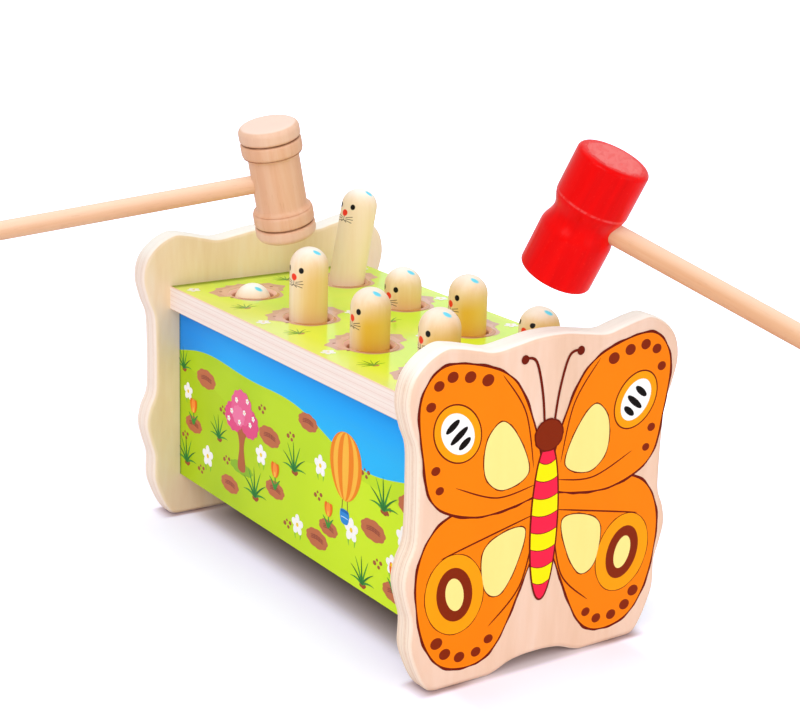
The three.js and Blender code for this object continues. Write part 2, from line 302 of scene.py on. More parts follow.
def grown(outline, amount):
    """A closed outline moved outwards, square to its line, by one amount or one for each point."""
    along = np.roll(outline, -1, 0) - np.roll(outline, 1, 0)
    return outline + right_of(along) * np.sign(area(outline)) * np.reshape(amount, (-1, 1))


def grid_faces(rows, columns, closed_rows=False, closed_columns=False):
    """Four-sided faces over a grid of points, where point number = row * columns + column."""
    row, column = np.meshgrid(np.arange(rows - (not closed_rows)), np.arange(columns - (not closed_columns)),
                              indexing="ij")
    next_row, next_column = (row + 1) % rows, (column + 1) % columns
    return np.stack([row * columns + column, row * columns + next_column,
                     next_row * columns + next_column, next_row * columns + column], -1).reshape(-1, 4)


# Points nearer to each other than this are made one, in millimetres
MERGE_REACH = 0.001
# The cosine above which a face counts as square to a direction
SQUARE_ON = 0.99999


def make_mesh(name, points, faces, crease=35, surface=None, ink=None, merge=True, flat_ways=()):
    """A mesh from points in millimetres and lists of corners. surface is each point's place on the piece's
    own map, and ink its colour. Faces square to a direction of flat_ways are shaded flat."""
    mesh = bpy.data.meshes.new(name)
    mesh.from_pydata((np.asarray(points) * MM).tolist(), [], [list(map(int, face)) for face in faces])
    corners = np.empty(len(mesh.loops), np.int32)
    mesh.loops.foreach_get("vertex_index", corners)
    if surface is not None:
        layer = mesh.uv_layers.new(name="surface")
        layer.uv.foreach_set("vector", np.asarray(surface, np.float32)[corners].ravel())
    if ink is not None:
        layer = mesh.color_attributes.new("ink", "FLOAT_COLOR", "POINT")
        layer.data.foreach_set("color", np.asarray(ink, np.float32).ravel())
    if merge:
        work = bmesh.new()
        work.from_mesh(mesh)
        bmesh.ops.remove_doubles(work, verts=work.verts, dist=MERGE_REACH * MM)
        open_edges = [edge for edge in work.edges if edge.is_boundary]
        if open_edges:
            bmesh.ops.holes_fill(work, edges=open_edges)
        bmesh.ops.recalc_face_normals(work, faces=work.faces)
        work.to_mesh(mesh)
        work.free()
    mesh.polygons.foreach_set("use_smooth", np.ones(len(mesh.polygons), bool))
    mesh.set_sharp_from_angle(angle=math.radians(crease))
    for polygon in mesh.polygons:
        if any(abs(polygon.normal.dot(Vector(way))) > SQUARE_ON for way in flat_ways):
            polygon.use_smooth = False
    return mesh


def add_object(name, data):
    """A new object of the scene, at its origin."""
    made = bpy.data.objects.new(name, data)
    bpy.context.scene.collection.objects.link(made)
    return made


def piece(name, mesh, finish, body, replaced=()):
    """A piece of the toy, in place, with its material, on the body that carries it."""
    made = add_object(name, mesh)
    mesh.materials.append(finish)
    if replaced:
        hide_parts(*replaced)
    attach(made, body)


def lathed(profile, segments, along=None):
    """A profile of (radius, height) turned once round Z: points, faces and map. The angle runs from the
    -X side and back to it, and the map is (angle times radius, height or the given way along)."""
    profile = np.asarray(profile, float)
    angle = np.linspace(-math.pi, math.pi, segments + 1)
    radius, height = profile[:, :1], profile[:, 1:]
    points = np.stack([-radius * np.cos(angle), -radius * np.sin(angle), height + 0 * angle], -1)
    along = profile[:, 1] if along is None else np.asarray(along)
    surface = np.stack([radius * angle, along[:, None] + 0 * angle], -1)
    return points.reshape(-1, 3), grid_faces(len(profile), segments + 1), surface.reshape(-1, 2)


def placed(points, middle, *ways):
    """Points of a piece's own frame, put at its place: middle + x, y and z times their ways."""
    return points @ np.array(ways) + middle


def round_turn(count):
    """Evenly spaced angles of one full turn."""
    return np.linspace(0, 2 * math.pi, count, endpoint=False)


def on_circle(angle):
    """The points (cos, sin) of a circle of radius 1."""
    return np.stack([np.cos(angle), np.sin(angle)], -1)


def arc(middle, radius, start, end, steps):
    """Points on a circle about middle from one direction to another, in degrees."""
    return on_circle(np.radians(np.linspace(start, end, steps + 1))) * radius + middle


# Motifs of the prints: closed outlines in millimetres on the board

def oval(x, y, wide, high, turn=0.0, count=28):
    """An ellipse of the given full width and height, turned leftwards by an angle in degrees."""
    angle = round_turn(count)
    flat, up = wide / 2 * np.cos(angle), high / 2 * np.sin(angle)
    c, s = on_circle(math.radians(turn))
    return np.stack([x + flat * c - up * s, y + flat * s + up * c], 1)


def scalloped(x, y, wide, high, bumps, depth, turn=0.0, count=96):
    """An ellipse whose radius swells in bumps: times 1 - depth + depth * |cos(bumps/2 * angle)|."""
    angle = round_turn(count)
    swell = 1 - depth + depth * np.abs(np.cos(angle * bumps / 2 + math.radians(turn)))
    return on_circle(angle) * swell[:, None] * (wide / 2, high / 2) + (x, y)


def ribbon(path, half, pointed=False):
    """The outline of a drawn line, with a half width at each of its points and perhaps a pointed end."""
    step = right_of(np.gradient(path, axis=0)) * half[:, None]
    return np.vstack([path + step, (path - step)[-1 - pointed::-1]])


def blade(x, y, length, lean, width, bend=0.35):
    """A leaf of grass: a line that leaves its root, bends over with its lean (degrees from upright) and
    narrows to a point. Its half width is width/2 * (1 - t) ** 0.7 along the line."""
    t = np.linspace(0, 1, 9)
    angle = math.radians(lean) * (1 + bend * t)
    spine = np.stack([x + length * t * np.sin(angle), y + length * t * np.cos(angle)], 1)
    return ribbon(spine, width / 2 * (1 - t) ** 0.7, pointed=True)


def stroke(path, width, taper=0.6, wobble=0.0):
    """A drawn line of even width that thins at both ends. Its half width is
    width/2 * (1 - taper * |2t - 1| ** 4) * (1 + wobble * sin(40t))."""
    t = np.linspace(0, 1, len(path))
    half = width / 2 * (1 - taper * np.abs(2 * t - 1) ** 4) * (1 + wobble * np.sin(40 * t))
    return ribbon(np.asarray(path, float), half)


class Print:
    """A picture printed on a flat board: thin layers of ink, each a closed plate with its colour.
    right and up are the picture's directions on the board, and start is the picture's zero point."""

    def __init__(self, start, right, up):
        self.start, self.right, self.up = (np.array(way, float) for way in (start, right, up))
        self.out = np.cross(self.right, self.up)
        self.points, self.faces, self.inks, self.count, self.plates = [], [], [], 0, 0

    def lay(self, outline, colour, layer=0, hole=None):
        """Adds one plate. With a hole, outline and hole have as many points, and the plate is the ring
        between them. Plates of one layer differ a little in height, so that two that cross never lie in
        one plane."""
        outline = np.asarray(outline, float)
        if area(outline) < 0:
            outline = outline[::-1]
        size = len(outline)
        stagger, gap = 0.1 * (self.plates % 7), 0.2
        top, bottom = layer + 1 + stagger, layer + gap
        self.plates += 1
        rings = [outline, outline] if hole is None else [hole, outline, outline, hole]
        levels = [top, bottom] if hole is None else [top, top, bottom, bottom]
        for ring, level in zip(rings, levels):
            flat = self.start + ring[:, :1] * self.right + ring[:, 1:] * self.up
            self.points.append(flat + self.out * level * INK_LAYER)
        at = self.count
        if hole is None:
            self.faces += [range(at, at + size), range(at + 2 * size - 1, at + size - 1, -1)]
            self.faces += list(grid_faces(2, size, closed_columns=True)[:, [1, 0, 3, 2]] + at)
        else:
            self.faces += list(grid_faces(4, size, closed_rows=True, closed_columns=True)[:, ::-1] + at)
        self.inks.append(np.tile(srgb(colour), (size * len(rings), 1)))
        self.count += size * len(rings)

    def framed(self, outline, colour, line, width, layer):
        """A shape on a darker one that is wider all round, which shows as its drawn outline. The line's
        width wavers: times 1 + 0.22 * sin(9t) + 0.15 * sin(23t + 1)."""
        t = round_turn(len(outline))
        wavy = width * (1 + 0.22 * np.sin(9 * t) + 0.15 * np.sin(23 * t + 1))
        self.lay(grown(outline, wavy), line, layer)
        self.lay(outline, colour, layer + 1)

    def mesh(self, name):
        points, inks = np.vstack(self.points), np.vstack(self.inks)
        return make_mesh(name, points, self.faces, crease=10, ink=inks, merge=False)


# Materials

# How far below a face the look of a cut edge sets in, in millimetres
EDGE_FADE = (0.3, 0.8)
# Where a ply turns into the next one and where its glue line lies, in shares of a ply
PLY_CHANGE, GLUE_LINE = (0.21, 0.29), (0.41, 0.47)


def plywood(name, face_colours, edge_colours, axis, start, thickness, plies, grain_scales, sanded=None):
    """Plywood: long soft grain on the faces, and its plies with their glue lines on the edges. The depth
    below the face at start, along the axis, tells them apart. Where the last argument gives two heights, a
    painted highlight makes the edges paler from the first height to the second. Gives the finish, its place,
    its grain and its plain colour."""
    wood = Finish(name)
    place = wood.place()
    depth = abs(wood.split(place)[axis] - start)
    grain = wood.noise(place, grain_scales, 5.0, 0.55, 0.4)
    fleck = wood.noise(place, [scale * 9 for scale in grain_scales])
    face = wood.ramp(grain * 0.8 + fleck * 0.2, (0.32, 0.5, 0.68), face_colours)
    ply = depth / (thickness / plies) + wood.noise(place, 90) * 0.16
    end_grain = abs((ply / 2).fraction() - 0.5).rise(*PLY_CHANGE)
    speck = wood.noise(place, 900).rise(0.42, 0.62)
    glue = abs(ply.fraction() - 0.5).rise(*GLUE_LINE)
    edge = wood.mix(end_grain * (0.35 + 0.3 * speck), *edge_colours[:2])
    edge = wood.mix(glue * 0.4, edge, edge_colours[2])
    if sanded:
        # Painted highlight: the edges turn nearly white towards the top
        edge = wood.mix(wood.split(place)[2].rise(*sanded) * 0.8, edge, "#FFFEF6")
    on_edge = depth.rise(*EDGE_FADE) * (thickness - depth).rise(*EDGE_FADE)
    plain = wood.mix(on_edge, face, edge)
    wood.set(Base_Color=plain, Roughness=0.55 + (fleck - 0.5) * 0.16)
    wood.bumped(grain * 0.5 + fleck * 0.5 + glue * on_edge * -0.6, 0.12, 0.0002)
    return wood, place, grain, plain


# Plies and grain scales: the panels' grain stands upright, that of the deck and the sides runs lengthways
PANEL_PLIES, SIDE_PLIES = 5, 3
PANEL_GRAIN, DECK_GRAIN, SIDE_GRAIN = (42, 42, 7), (42, 5, 42), (42, 6, 42)
PANEL_FACES = ("#E5BE9F", "#EDC9AE", "#F2D3BD")
# The rear panel's faces and edges are the same wood in paler, yellower tones: painted light, for how the
# light falls on it
REAR_PANEL_LIT_FACES = ("#EFD2A6", "#F6DEB8", "#FAE8CC")
PANEL_EDGES = ("#FBE6D0", "#F1D2B6", "#C69876")
REAR_PANEL_LIT_EDGES = ("#FCEBDC", "#F6DFCC", "#DCBEA2")
DECK_EDGES = ("#FCEEE4", "#F8E3D8", "#D8B4A2")
# Shares of the panel's height where the painted highlight on its edges sets in and is whole
TOP_HIGHLIGHT_SHARES = (0.895, 0.97)


def end_panel_wood(name, faces, edges, outer):
    """Plywood of an end panel, with a painted highlight that makes its top edge paler."""
    sanded = [floor_height + panel_height * share for share in TOP_HIGHLIGHT_SHARES]
    thickness = front_high[1] - front_low[1]
    return plywood(name, faces, edges, 1, outer, thickness, PANEL_PLIES, PANEL_GRAIN, sanded)[0].material


VARNISH, VARNISH_ROUGHNESS = 0.9, 0.12
BOARD_SHINE = 0.12
# Start and end of the deck's changes, in millimetres: the painted shade before the rear panel, and the
# print's edge and the holes' painted shade below the top face
JOINT_SHADE_FADE = (7.5, 2.0)
PRINT_FADE, HOLE_SHADE_FADE = (0.06, 0.01), (2.6, 0.9)


def below(height, fade):
    """The two ends of a change that lies below a height or a place."""
    return [height - reach for reach in fade]


def deck_wood():
    """The deck: printed yellow-green on top under a clear varnish, brighter and paler towards its left edge,
    over plywood edges. The holes are pink-brown and darker deeper down, which is painted shade, and painted
    shade darkens the print along the rear panel."""
    wood, place, grain, plain = plywood("deck_print", PANEL_FACES, DECK_EDGES, 2, deck_high[2],
                                        deck_high[2] - deck_low[2], PANEL_PLIES, DECK_GRAIN)
    x, y, z = wood.split(place)
    left = x * -1
    cloud = wood.noise(place, (22, 16, 22), 3.0, 0.5, 0.6)
    # Painted shade where the deck meets the rear panel: the print turns dark olive and loses its varnish
    # there
    joint_shade = y.rise(*below(deck_high[1], JOINT_SHADE_FADE))
    print_colour = wood.layers(
        "#D0FA1C",
        ((cloud + left.rise(30, 62) * 0.4).rise(0.35, 0.8), "#ECFF36"),
        (left.rise(44, 63) * 0.5, "#F0F88C"),
        (grain.rise(0.4, 0.75) * 0.12, "#93BE12"),
        (joint_shade * 0.85, "#74820E"))
    printed = z.rise(*below(deck_high[2], PRINT_FADE))
    from_row = ((y / ROW_PITCH).fraction() - 0.5) * ROW_PITCH
    from_hole = how_far(abs(x) - COLUMN_PLACE, from_row)
    in_hole = from_hole.rise(COUNTERSINK_RADIUS + 1, COUNTERSINK_RADIUS + 0.5)
    # The holes: pale pink-brown at the top, and darker deeper down, which is painted shade
    hole_tone_and_shade = wood.mix(z.rise(*below(deck_high[2], HOLE_SHADE_FADE)), "#D49A7E", "#F2C4B0")
    wood.set(Base_Color=wood.layers(plain, (in_hole, hole_tone_and_shade), (printed, print_colour)),
             Roughness=0.55 - printed * 0.13, Specular_IOR_Level=BOARD_SHINE,
             Coat_Weight=printed * VARNISH * (1 - joint_shade), Coat_Roughness=VARNISH_ROUGHNESS)
    return wood.material


# Waves of the hills along the box: turns of the angle for each millimetre, start and height
SKYLINE_WAVES, SKYLINE_DROP = ((0.027, 0.6, 6.5), (0.061, 2.2, 2.4), (0.013, -0.9, 4.0)), 22
SECOND_WAVES, SECOND_DROP = ((0.034, 4.0, 7.0), (0.017, 0.0, 5.0)), 42
# How far before the rear panel the painted shade on a side board sets in and is whole, in millimetres
SIDE_JOINT_SHADE_FADE = (2.4, 0.4)


def hills(along, waves):
    """The sum of some waves, each height * sin(pace * along + start)."""
    total = 0
    for pace, start, height in waves:
        total = (along * pace + start).sine() * height + total
    return total


def side_print(name, outer):
    """A side board: sky over rolling meadow on its outer face, bare wood on the rest. The skyline is three
    slow waves along the box, and a second one of two waves lies in the meadow. Painted shade darkens the
    picture along the rear panel."""
    wood, place, grain, plain = plywood(name, PANEL_FACES, PANEL_EDGES, 0, outer, side_high[0] - side_low[0],
                                        SIDE_PLIES, SIDE_GRAIN)
    x, y, z = wood.split(place)
    skyline = hills(y, SKYLINE_WAVES) + (side_high[2] - SKYLINE_DROP)
    second = hills(y, SECOND_WAVES) + (side_high[2] - SECOND_DROP)
    share = (z - side_low[2]) / side_height
    sky = wood.layers("#1CBCFF", (share.rise(0.7, 1.0), "#00A4FF"), (y.rise(50, 116) * 0.85, "#0086EA"))
    meadow = wood.layers(
        "#CFF01E",
        (y.rise(-70, 105), "#AACB04"),
        ((z - second).rise(-0.15, 0.15) * 0.5, "#B4DC14"),
        (wood.noise(place, 18).rise(0.35, 0.7) * 0.25, "#D8F22E"))
    picture = wood.layers(
        meadow,
        ((z - skyline).rise(-0.12, 0.12), sky),
        (grain.rise(0.45, 0.8) * 0.08, "#7E9A2E"),
        # Painted shade where the board meets the rear panel
        (y.rise(*below(side_high[1], SIDE_JOINT_SHADE_FADE)) * 0.55, "#1E4A2A"))
    printed = (abs(x) - (abs(outer) - 0.06)).rise(0.0, 0.04)
    wood.set(Base_Color=wood.mix(printed, plain, picture), Roughness=0.5 - printed * 0.14,
             Specular_IOR_Level=BOARD_SHINE)
    return wood.material


def printing_ink(name, roughness=0.42, varnish=0.0):
    """Ink with the faint grain of the board under it, and the board's varnish over it."""
    ink = Finish(name, Specular_IOR_Level=0.08, Coat_Weight=varnish, Coat_Roughness=VARNISH_ROUGHNESS)
    place = ink.place()
    colour = ink.node("ShaderNodeAttribute", {"attribute_name": "ink"}).outputs["Color"]
    grain = ink.noise(place, (60, 60, 9), 4.0, 0.6, 0.3)
    mottle = ink.noise(place, 500)
    tint = ink.mix(grain.rise(0.35, 0.75) * 0.15 + mottle * 0.08, colour, "#F2E2C0", "MULTIPLY")
    ink.set(Base_Color=tint, Roughness=roughness + (mottle - 0.5) * 0.12)
    return ink.bumped(mottle * 0.5 + grain, 0.06, 0.0001)


def spot(across, along, middle, size, soft=0.25):
    """1 inside an ellipse of the piece's own map, with an edge as soft as a painted one."""
    dx = (across - middle[0]) / (size[0] / 2)
    dy = (along - middle[1]) / (size[1] / 2)
    return how_far(dx, dy).rise(1 + soft, 1 - soft)


def line(across, along, start, end, width):
    """1 along a drawn line between two places of the piece's own map: the distance to the nearest of its
    points."""
    (ax, ay), (bx, by) = start, end
    length = math.hypot(bx - ax, by - ay)
    ux, uy = (bx - ax) / length, (by - ay) / length
    reach = ((across - ax) * ux + (along - ay) * uy).higher(0).lower(length)
    from_line = how_far(across - ax - reach * ux, along - ay - reach * uy)
    return from_line.rise(width / 2 + 0.09, width / 2 - 0.05)


# The face, on a map of millimetres round the peg from its front and down from its crown: the middle and
# the size of each spot, and the ends and the width of each line of the whiskers and mouth
NOSE = ((0, 19.3), (3.9, 3.5))
EYE = ((4.5, 15.6), (2.7, 3.0))
EAR = ((8.9, 6.0), (3.5, 3.0))
FACE_LINES = [
    ((1.3, 21.8), (5.2, 20.9), 0.34), ((1.3, 22.5), (5.6, 22.4), 0.34), ((1.2, 23.2), (5.1, 24.1), 0.34),
    ((0, 21.0), (0, 23.1), 0.45), ((0, 23.1), (1.9, 24.1), 0.45),
]
# How far a face is turned round its peg, in degrees, and how much higher it is painted
FACE_TURNS = {
    "mole_rear_right": 8.5, "mole_middle_rear_left": 8, "mole_middle_rear_right": 5.5,
    "mole_middle_front_left": -6.5, "mole_middle_front_right": -7.5, "mole_front_left": -5.5,
    "mole_front_right": 3,
}
FACE_LIFTS = {"mole_front_right": 3.2}
# How far below the crown that rise starts and is whole
LIFT_START, LIFT_WHOLE = 8, 12


def peg_wood():
    """A pale turned peg with straight grain, and the mole's face painted on it: blue ears, whiskers and
    mouth, a red nose and black eyes. Light is painted into the wood: the rear pegs and the crowns are paler,
    and a golden and a pale yellow painted reflection lie low on the right side."""
    wood = Finish("peg_wood", Specular_IOR_Level=0.2)
    place = wood.place()
    across, down = wood.print_places()
    side, y = abs(across), wood.split(place)[1]
    grain = wood.noise(place, (230, 230, 10), 4.0, 0.6, 0.3)
    broad = wood.noise(place, (60, 60, 7))
    toward_front = y.rise(60, -20)
    low = down.rise(8, 23)
    pale = wood.layers(
        wood.ramp(grain * 0.55 + broad * 0.45, (0.3, 0.5, 0.72), ("#EBC596", "#F4D7B0", "#FBE6CB")),
        # Painted light: the rear pegs paler, a golden painted reflection low on the right that is strongest
        # on the front pegs, a pale yellow one further round, and a painted highlight that whitens the crown
        (y.rise(50, 85) * 0.5, "#FFF0D4"),
        (across.rise(-2, 9) * low * (0.04 + 0.88 * toward_front), "#E4B01A"),
        (across.rise(9, 20) * low * 0.35, "#FFEA84"),
        (down.rise(13, 3) * (0.95 - 0.4 * toward_front), "#FFFEF8"))
    dome_radius = (down / PEG_RADIUS).sine() * PEG_RADIUS
    ear_radius = PEG_RADIUS * math.sin(EAR[0][1] / PEG_RADIUS)
    round_dome = side / dome_radius * ear_radius
    slanted = down - (round_dome - EAR[0][0]) * 0.5
    lines = line(side, down, *FACE_LINES[0])
    for drawn in FACE_LINES[1:]:
        lines = lines.higher(line(side, down, *drawn))
    eyes = spot(side, down, *EYE, 0.12)
    painted = wood.layers(
        pale,
        (spot(round_dome, slanted, *EAR, 0.3) * 0.9, "#48D8F4"),
        (lines * 0.85, "#2A221C"),
        (spot(side, down, *NOSE, 0.14), "#F2371B"),
        (eyes, "#0E0B0A"))
    wood.set(Base_Color=painted, Roughness=0.5 - eyes * 0.2)
    return wood.bumped(grain, 0.10, 0.0002)


def beech(name, matrix, tones, groove=None, end=None):
    """Turned beech: warm grain along the piece with short dark flecks. matrix is the frame that the piece
    lies in, its grain along Z. A head has a line burnt round each half of it: groove is the line's height and
    width, and end the height of the pale end faces. A handle has a painted highlight along its upper side."""
    wood = Finish(name)
    place = wood.turned(wood.place(), matrix)
    grain = wood.noise(place, (170, 170, 12), 5.0, 0.6, 0.5)
    broad = wood.noise(place, (45, 45, 7))
    fleck = wood.noise(place, (1500, 1500, 160), 1.0).rise(0.64, 0.74)
    coats = [(fleck * 0.22, "#BE885E")]
    if groove:
        middle, width = groove
        along = abs(wood.print_places()[1])
        burnt = abs(along - middle).rise(width / 2 + 0.25, width / 2 - 0.25)
        singe = wood.noise(place, 400).rise(0.2, 0.6)
        coats += [(burnt * (0.5 + 0.3 * singe), "#8A5636"),
                  (along.rise(middle + 0.6, middle + 2) * 0.35, "#F2D4BE"),
                  (along.rise(end - 0.8, end - 0.1) * 0.6, "#FFE9DE")]
    else:
        # Painted highlight along the handle's side towards the head's upper end, which faces up
        coats.append((abs(wood.print_places()[0]).rise(7.5, 0.5) * 0.6, "#FFE9D2"))
    colour = wood.ramp(grain * 0.6 + broad * 0.4, (0.3, 0.5, 0.7), tones)
    wood.set(Base_Color=wood.layers(colour, *coats), Roughness=0.5 + (grain - 0.5) * 0.2)
    return wood.bumped(grain * 0.7 + fleck * -0.5, 0.14, 0.0002)


def red_paint(matrix, centre):
    """Glossy red paint that has sunk a little into the grain, with fine scratches from play. A painted
    reflection makes the middle of the end faces pink, and a painted highlight runs along the waist's upper
    lip. matrix is the head's frame and centre its place."""
    paint = Finish("red_paint", IOR=1.12, Coat_Roughness=0.1, Coat_IOR=1.14)
    place = paint.turned(paint.place(), matrix)
    height = paint.print_places()[1]
    grain = paint.noise(place, (150, 150, 14), 4.0, 0.55, 0.4)
    orange_peel = paint.noise(place, 520)
    scratches = paint.noise(place, (1900, 240, 700), 1.0).rise(0.68, 0.74)
    # Mottle of the painted reflection and highlight below
    sheen_mottle = paint.noise(place, (330, 120, 330), 4.0, 0.6, 1.2).rise(0.35, 0.6)
    middle = matrix.transposed() @ Vector(centre)
    from_axis = how_far(*(part - offset for part, offset in zip(paint.split(place)[:2], middle)))
    # Painted reflection: a pink disc in the middle of each end face, with a mottled edge
    sheen_disc = (from_axis + (sheen_mottle - 0.5) * 1.6).rise(13.8, 11.8)
    end_sheen = abs(height).rise(RED_HEAD_HALF - 0.8, RED_HEAD_HALF - 0.1) * sheen_disc * (0.6 + 0.4 * sheen_mottle)
    waver = (paint.noise(place, 60, 1.0) - 0.5) * 1.6
    # Painted highlight: a pale, wavering line along the waist's upper lip
    lip = abs(height - (RED_WAIST_REACH - 0.5) + waver).rise(0.9, 0.1) * (0.12 + 0.4 * sheen_mottle)
    colour = paint.layers(
        paint.ramp(grain, (0.3, 0.52, 0.75), ("#D80000", "#E60000", "#EE0200")),
        (scratches * 0.2, "#FF4434"),
        (end_sheen.higher(lip), "#EC6460"))
    paint.set(Base_Color=colour, Coat_Weight=0.8 - scratches * 0.3,
              Roughness=0.42 + scratches * 0.2 + (orange_peel - 0.5) * 0.08)
    return paint.bumped(grain * 0.6 + orange_peel * 0.3, 0.16, 0.0003)


def steel():
    """A drawn steel rod with faint marks along it."""
    metal = Finish("rod_steel", Metallic=1.0)
    drawn = metal.noise(metal.place(), (900, 12, 900), 3.0)
    metal.set(Base_Color=metal.ramp(drawn, (0.3, 0.7), ("#A9ACB0", "#CDD0D3")), Roughness=0.22 + drawn * 0.2)
    return metal.bumped(drawn, 0.05, 0.0001)


def plain_wood(name, tones, scales):
    """Unfinished wood of the hidden boards, bars and dowels."""
    wood = Finish(name)
    grain = wood.noise(wood.place(), scales, 5.0, 0.6, 0.5)
    wood.set(Base_Color=wood.ramp(grain, (0.3, 0.5, 0.7), tones), Roughness=0.55 + grain * 0.2)
    return wood.bumped(grain, 0.15, 0.0003)


# The box

# Half outline of an end panel in shares of its half width and height, from the foot arch to the top
ARCH_SHARES = [(0, 0.035), (0.1, 0.033), (0.2, 0.025), (0.29, 0.008), (0.35, 0)]
FLANK_SHARES = [
    (0.735, 0), (0.79, 0.009), (0.845, 0.044), (0.9, 0.102), (0.928, 0.152), (0.927, 0.229), (0.957, 0.28),
    (0.986, 0.343), (0.966, 0.4), (0.921, 0.451), (0.911, 0.51), (0.912, 0.635), (0.922, 0.725),
    (0.966, 0.783), (1, 0.855), (0.972, 0.922), (0.883, 0.971), (0.76, 1), (0.66, 0.997),
    (0.53, 0.983), (0.41, 0.971), (0.264, 0.98), (0.12, 0.991), (0, 0.994),
]


def in_panel(shares):
    """Shares of an end panel's half width and height, in millimetres."""
    return np.asarray(shares, float) * (panel_half_width, panel_height)


def panel_outline():
    """The wavy outline of an end panel: a smooth line through its shares, and its mirror image."""
    half = np.vstack([curve(shares, 6, closed=False) for shares in (ARCH_SHARES, FLANK_SHARES)])
    return in_panel(np.vstack([half, half[-2:0:-1] * (-1, 1)]))


def rounding(radius, steps):
    """A quarter circle from a face to its flank: how far in from the flank each point lies, radius *
    (1 - cos), and how deep below the face, radius * (1 - sin)."""
    turn = np.radians(np.linspace(90, 0, steps))
    return radius * (1 - np.cos(turn)), radius * (1 - np.sin(turn))


def rounded_board(outline, low, high):
    """A board cut to an outline in X and Z, from low to high along Y, with both edges rounded: each ring is
    the outline drawn in by the rounding's inset, at its depth."""
    inset, depth = rounding(PANEL_EDGE_RADIUS, 7)
    rings = []
    for amount, y in zip([*inset, *inset[::-1]], [*(low + depth), *(high - depth[::-1])]):
        ring = grown(outline, -amount)
        rings.append(np.stack([ring[:, 0], np.full(len(ring), y), ring[:, 1] + floor_height], 1))
    return np.vstack(rings), grid_faces(len(rings), len(outline), closed_columns=True)


def make_end_panels():
    """The front and the rear panel have one outline. The rear panel is the same wood in paler, yellower
    tones, which are painted light: they stand in for how the light falls on it.
    """
    outline = panel_outline()
    for end, low, high, outer, tones in (
            ("front", front_low, front_high, front_low[1], (PANEL_FACES, PANEL_EDGES)),
            ("rear", rear_low, rear_high, rear_high[1], (REAR_PANEL_LIT_FACES, REAR_PANEL_LIT_EDGES))):
        name = f"{end}_panel_board"
        points, faces = rounded_board(outline, low[1], high[1])
        mesh = make_mesh(name, points, faces, crease=40, flat_ways=[(0, 1, 0)])
        wood = end_panel_wood(f"{end}_panel_ply", *tones, outer)
        piece(name, mesh, wood, "box", [f"{end}_end_panel"])


CELL_STEPS = 20


def deck_cell(middle, low, high):
    """One hole of the deck and the board round it: rings that run from the cell's border over the top to the
    countersink, down the hole, and back to the border below. Border point k is joined to circle point k."""
    corners = np.array([(low[0], low[1]), (high[0], low[1]), (high[0], high[1]), (low[0], high[1])])
    share = (np.arange(CELL_STEPS) / CELL_STEPS)[None, :, None]
    sides = (np.roll(corners, -1, 0) - corners)[:, None]
    border = (corners[:, None] + sides * share).reshape(-1, 2)
    first_corner = -0.75 * math.pi
    circle = on_circle(first_corner + round_turn(4 * CELL_STEPS))
    top, bottom, lip, rim = deck_high[2], deck_low[2], 0.35, 6
    wide, sunk = COUNTERSINK_RADIUS, top - COUNTERSINK_DEPTH
    rings = [(None, top), (wide + rim, top), (wide + lip, top), (wide + lip * 0.3, top - lip * 0.1),
             (wide - lip * 0.3, top - lip * 0.5), (HOLE_RADIUS + lip * 0.5, sunk + lip * 0.3),
             (HOLE_RADIUS, sunk - lip * 0.5), (HOLE_RADIUS, bottom), (None, bottom)]
    points = [np.column_stack([border if radius is None else circle * radius + middle,
                               np.full(len(border), height)]) for radius, height in rings]
    return np.vstack(points), grid_faces(len(rings), len(border), closed_columns=True)


def deck_edge(side, row_borders):
    """A long edge of the deck: a section with two rounded corners, carried along the cells' border points."""
    inset, depth = rounding(DECK_EDGE_RADIUS, 5)
    x = side * (deck_high[0] - np.concatenate([inset, inset[::-1]]))
    z = np.concatenate([deck_high[2] - depth, deck_low[2] + depth[::-1]])
    points = np.stack(np.broadcast_arrays(x[:, None], row_borders, z[:, None]), -1)
    return points.reshape(-1, 3), grid_faces(len(x), len(row_borders))


def make_deck():
    """The deck board: eight cells with a countersunk hole each, and its two rounded edges."""
    rows = np.array(ROW_PLACES[::-1])
    ends = [deck_low[1], *(rows[:-1] + rows[1:]) / 2, deck_high[1]]
    edge = deck_high[0] - DECK_EDGE_RADIUS
    stretches = list(zip(ends[:-1], ends[1:]))
    made = [deck_cell((side * COLUMN_PLACE, y), (min(0, side * edge), low), (max(0, side * edge), high))
            for y, (low, high) in zip(rows, stretches) for side in (-1, 1)]
    borders = np.concatenate([np.linspace(low, high, CELL_STEPS + 1) for low, high in stretches])
    borders = np.unique(borders.round(9))
    made += [deck_edge(side, borders) for side in (-1, 1)]
    points, faces, count = [], [], 0
    for part_points, part_faces in made:
        points.append(part_points)
        faces.append(part_faces + count)
        count += len(part_points)
    mesh = make_mesh("deck_top_board", np.vstack(points), np.vstack(faces), crease=32,
                     flat_ways=[(0, 0, 1), (0, 1, 0), (1, 0, 0)])
    piece("deck_top_board", mesh, deck_wood(), "box", ["deck_board"])


def dress(node, finish):
    """Gives a node of the frame its material."""
    mesh = frame["nodes"][node].data
    mesh.materials.clear()
    mesh.materials.append(finish)


def dress_nodes():
    """The boards and the works inside the box keep their own shapes."""
    inner = plain_wood("inner_beech", ("#D2A373", "#E0B688", "#EBC9A0"), (150, 14, 150))
    board = plain_wood("bottom_ply", ("#D9B98C", "#E6CBA3", "#F0DCBC"), (60, 7, 60))
    for node in frame["nodes"]:
        if node.startswith(("rocker_", "rod_sleeve_")) or "_join_dowel_" in node:
            dress(node, inner)
    dress("bottom_board", board)
    dress("pivot_rod", steel())
    dress("left_side_panel", side_print("left_side_print", side_low[0]))
    dress("right_side_panel", side_print("right_side_print", -side_low[0]))


# The moles

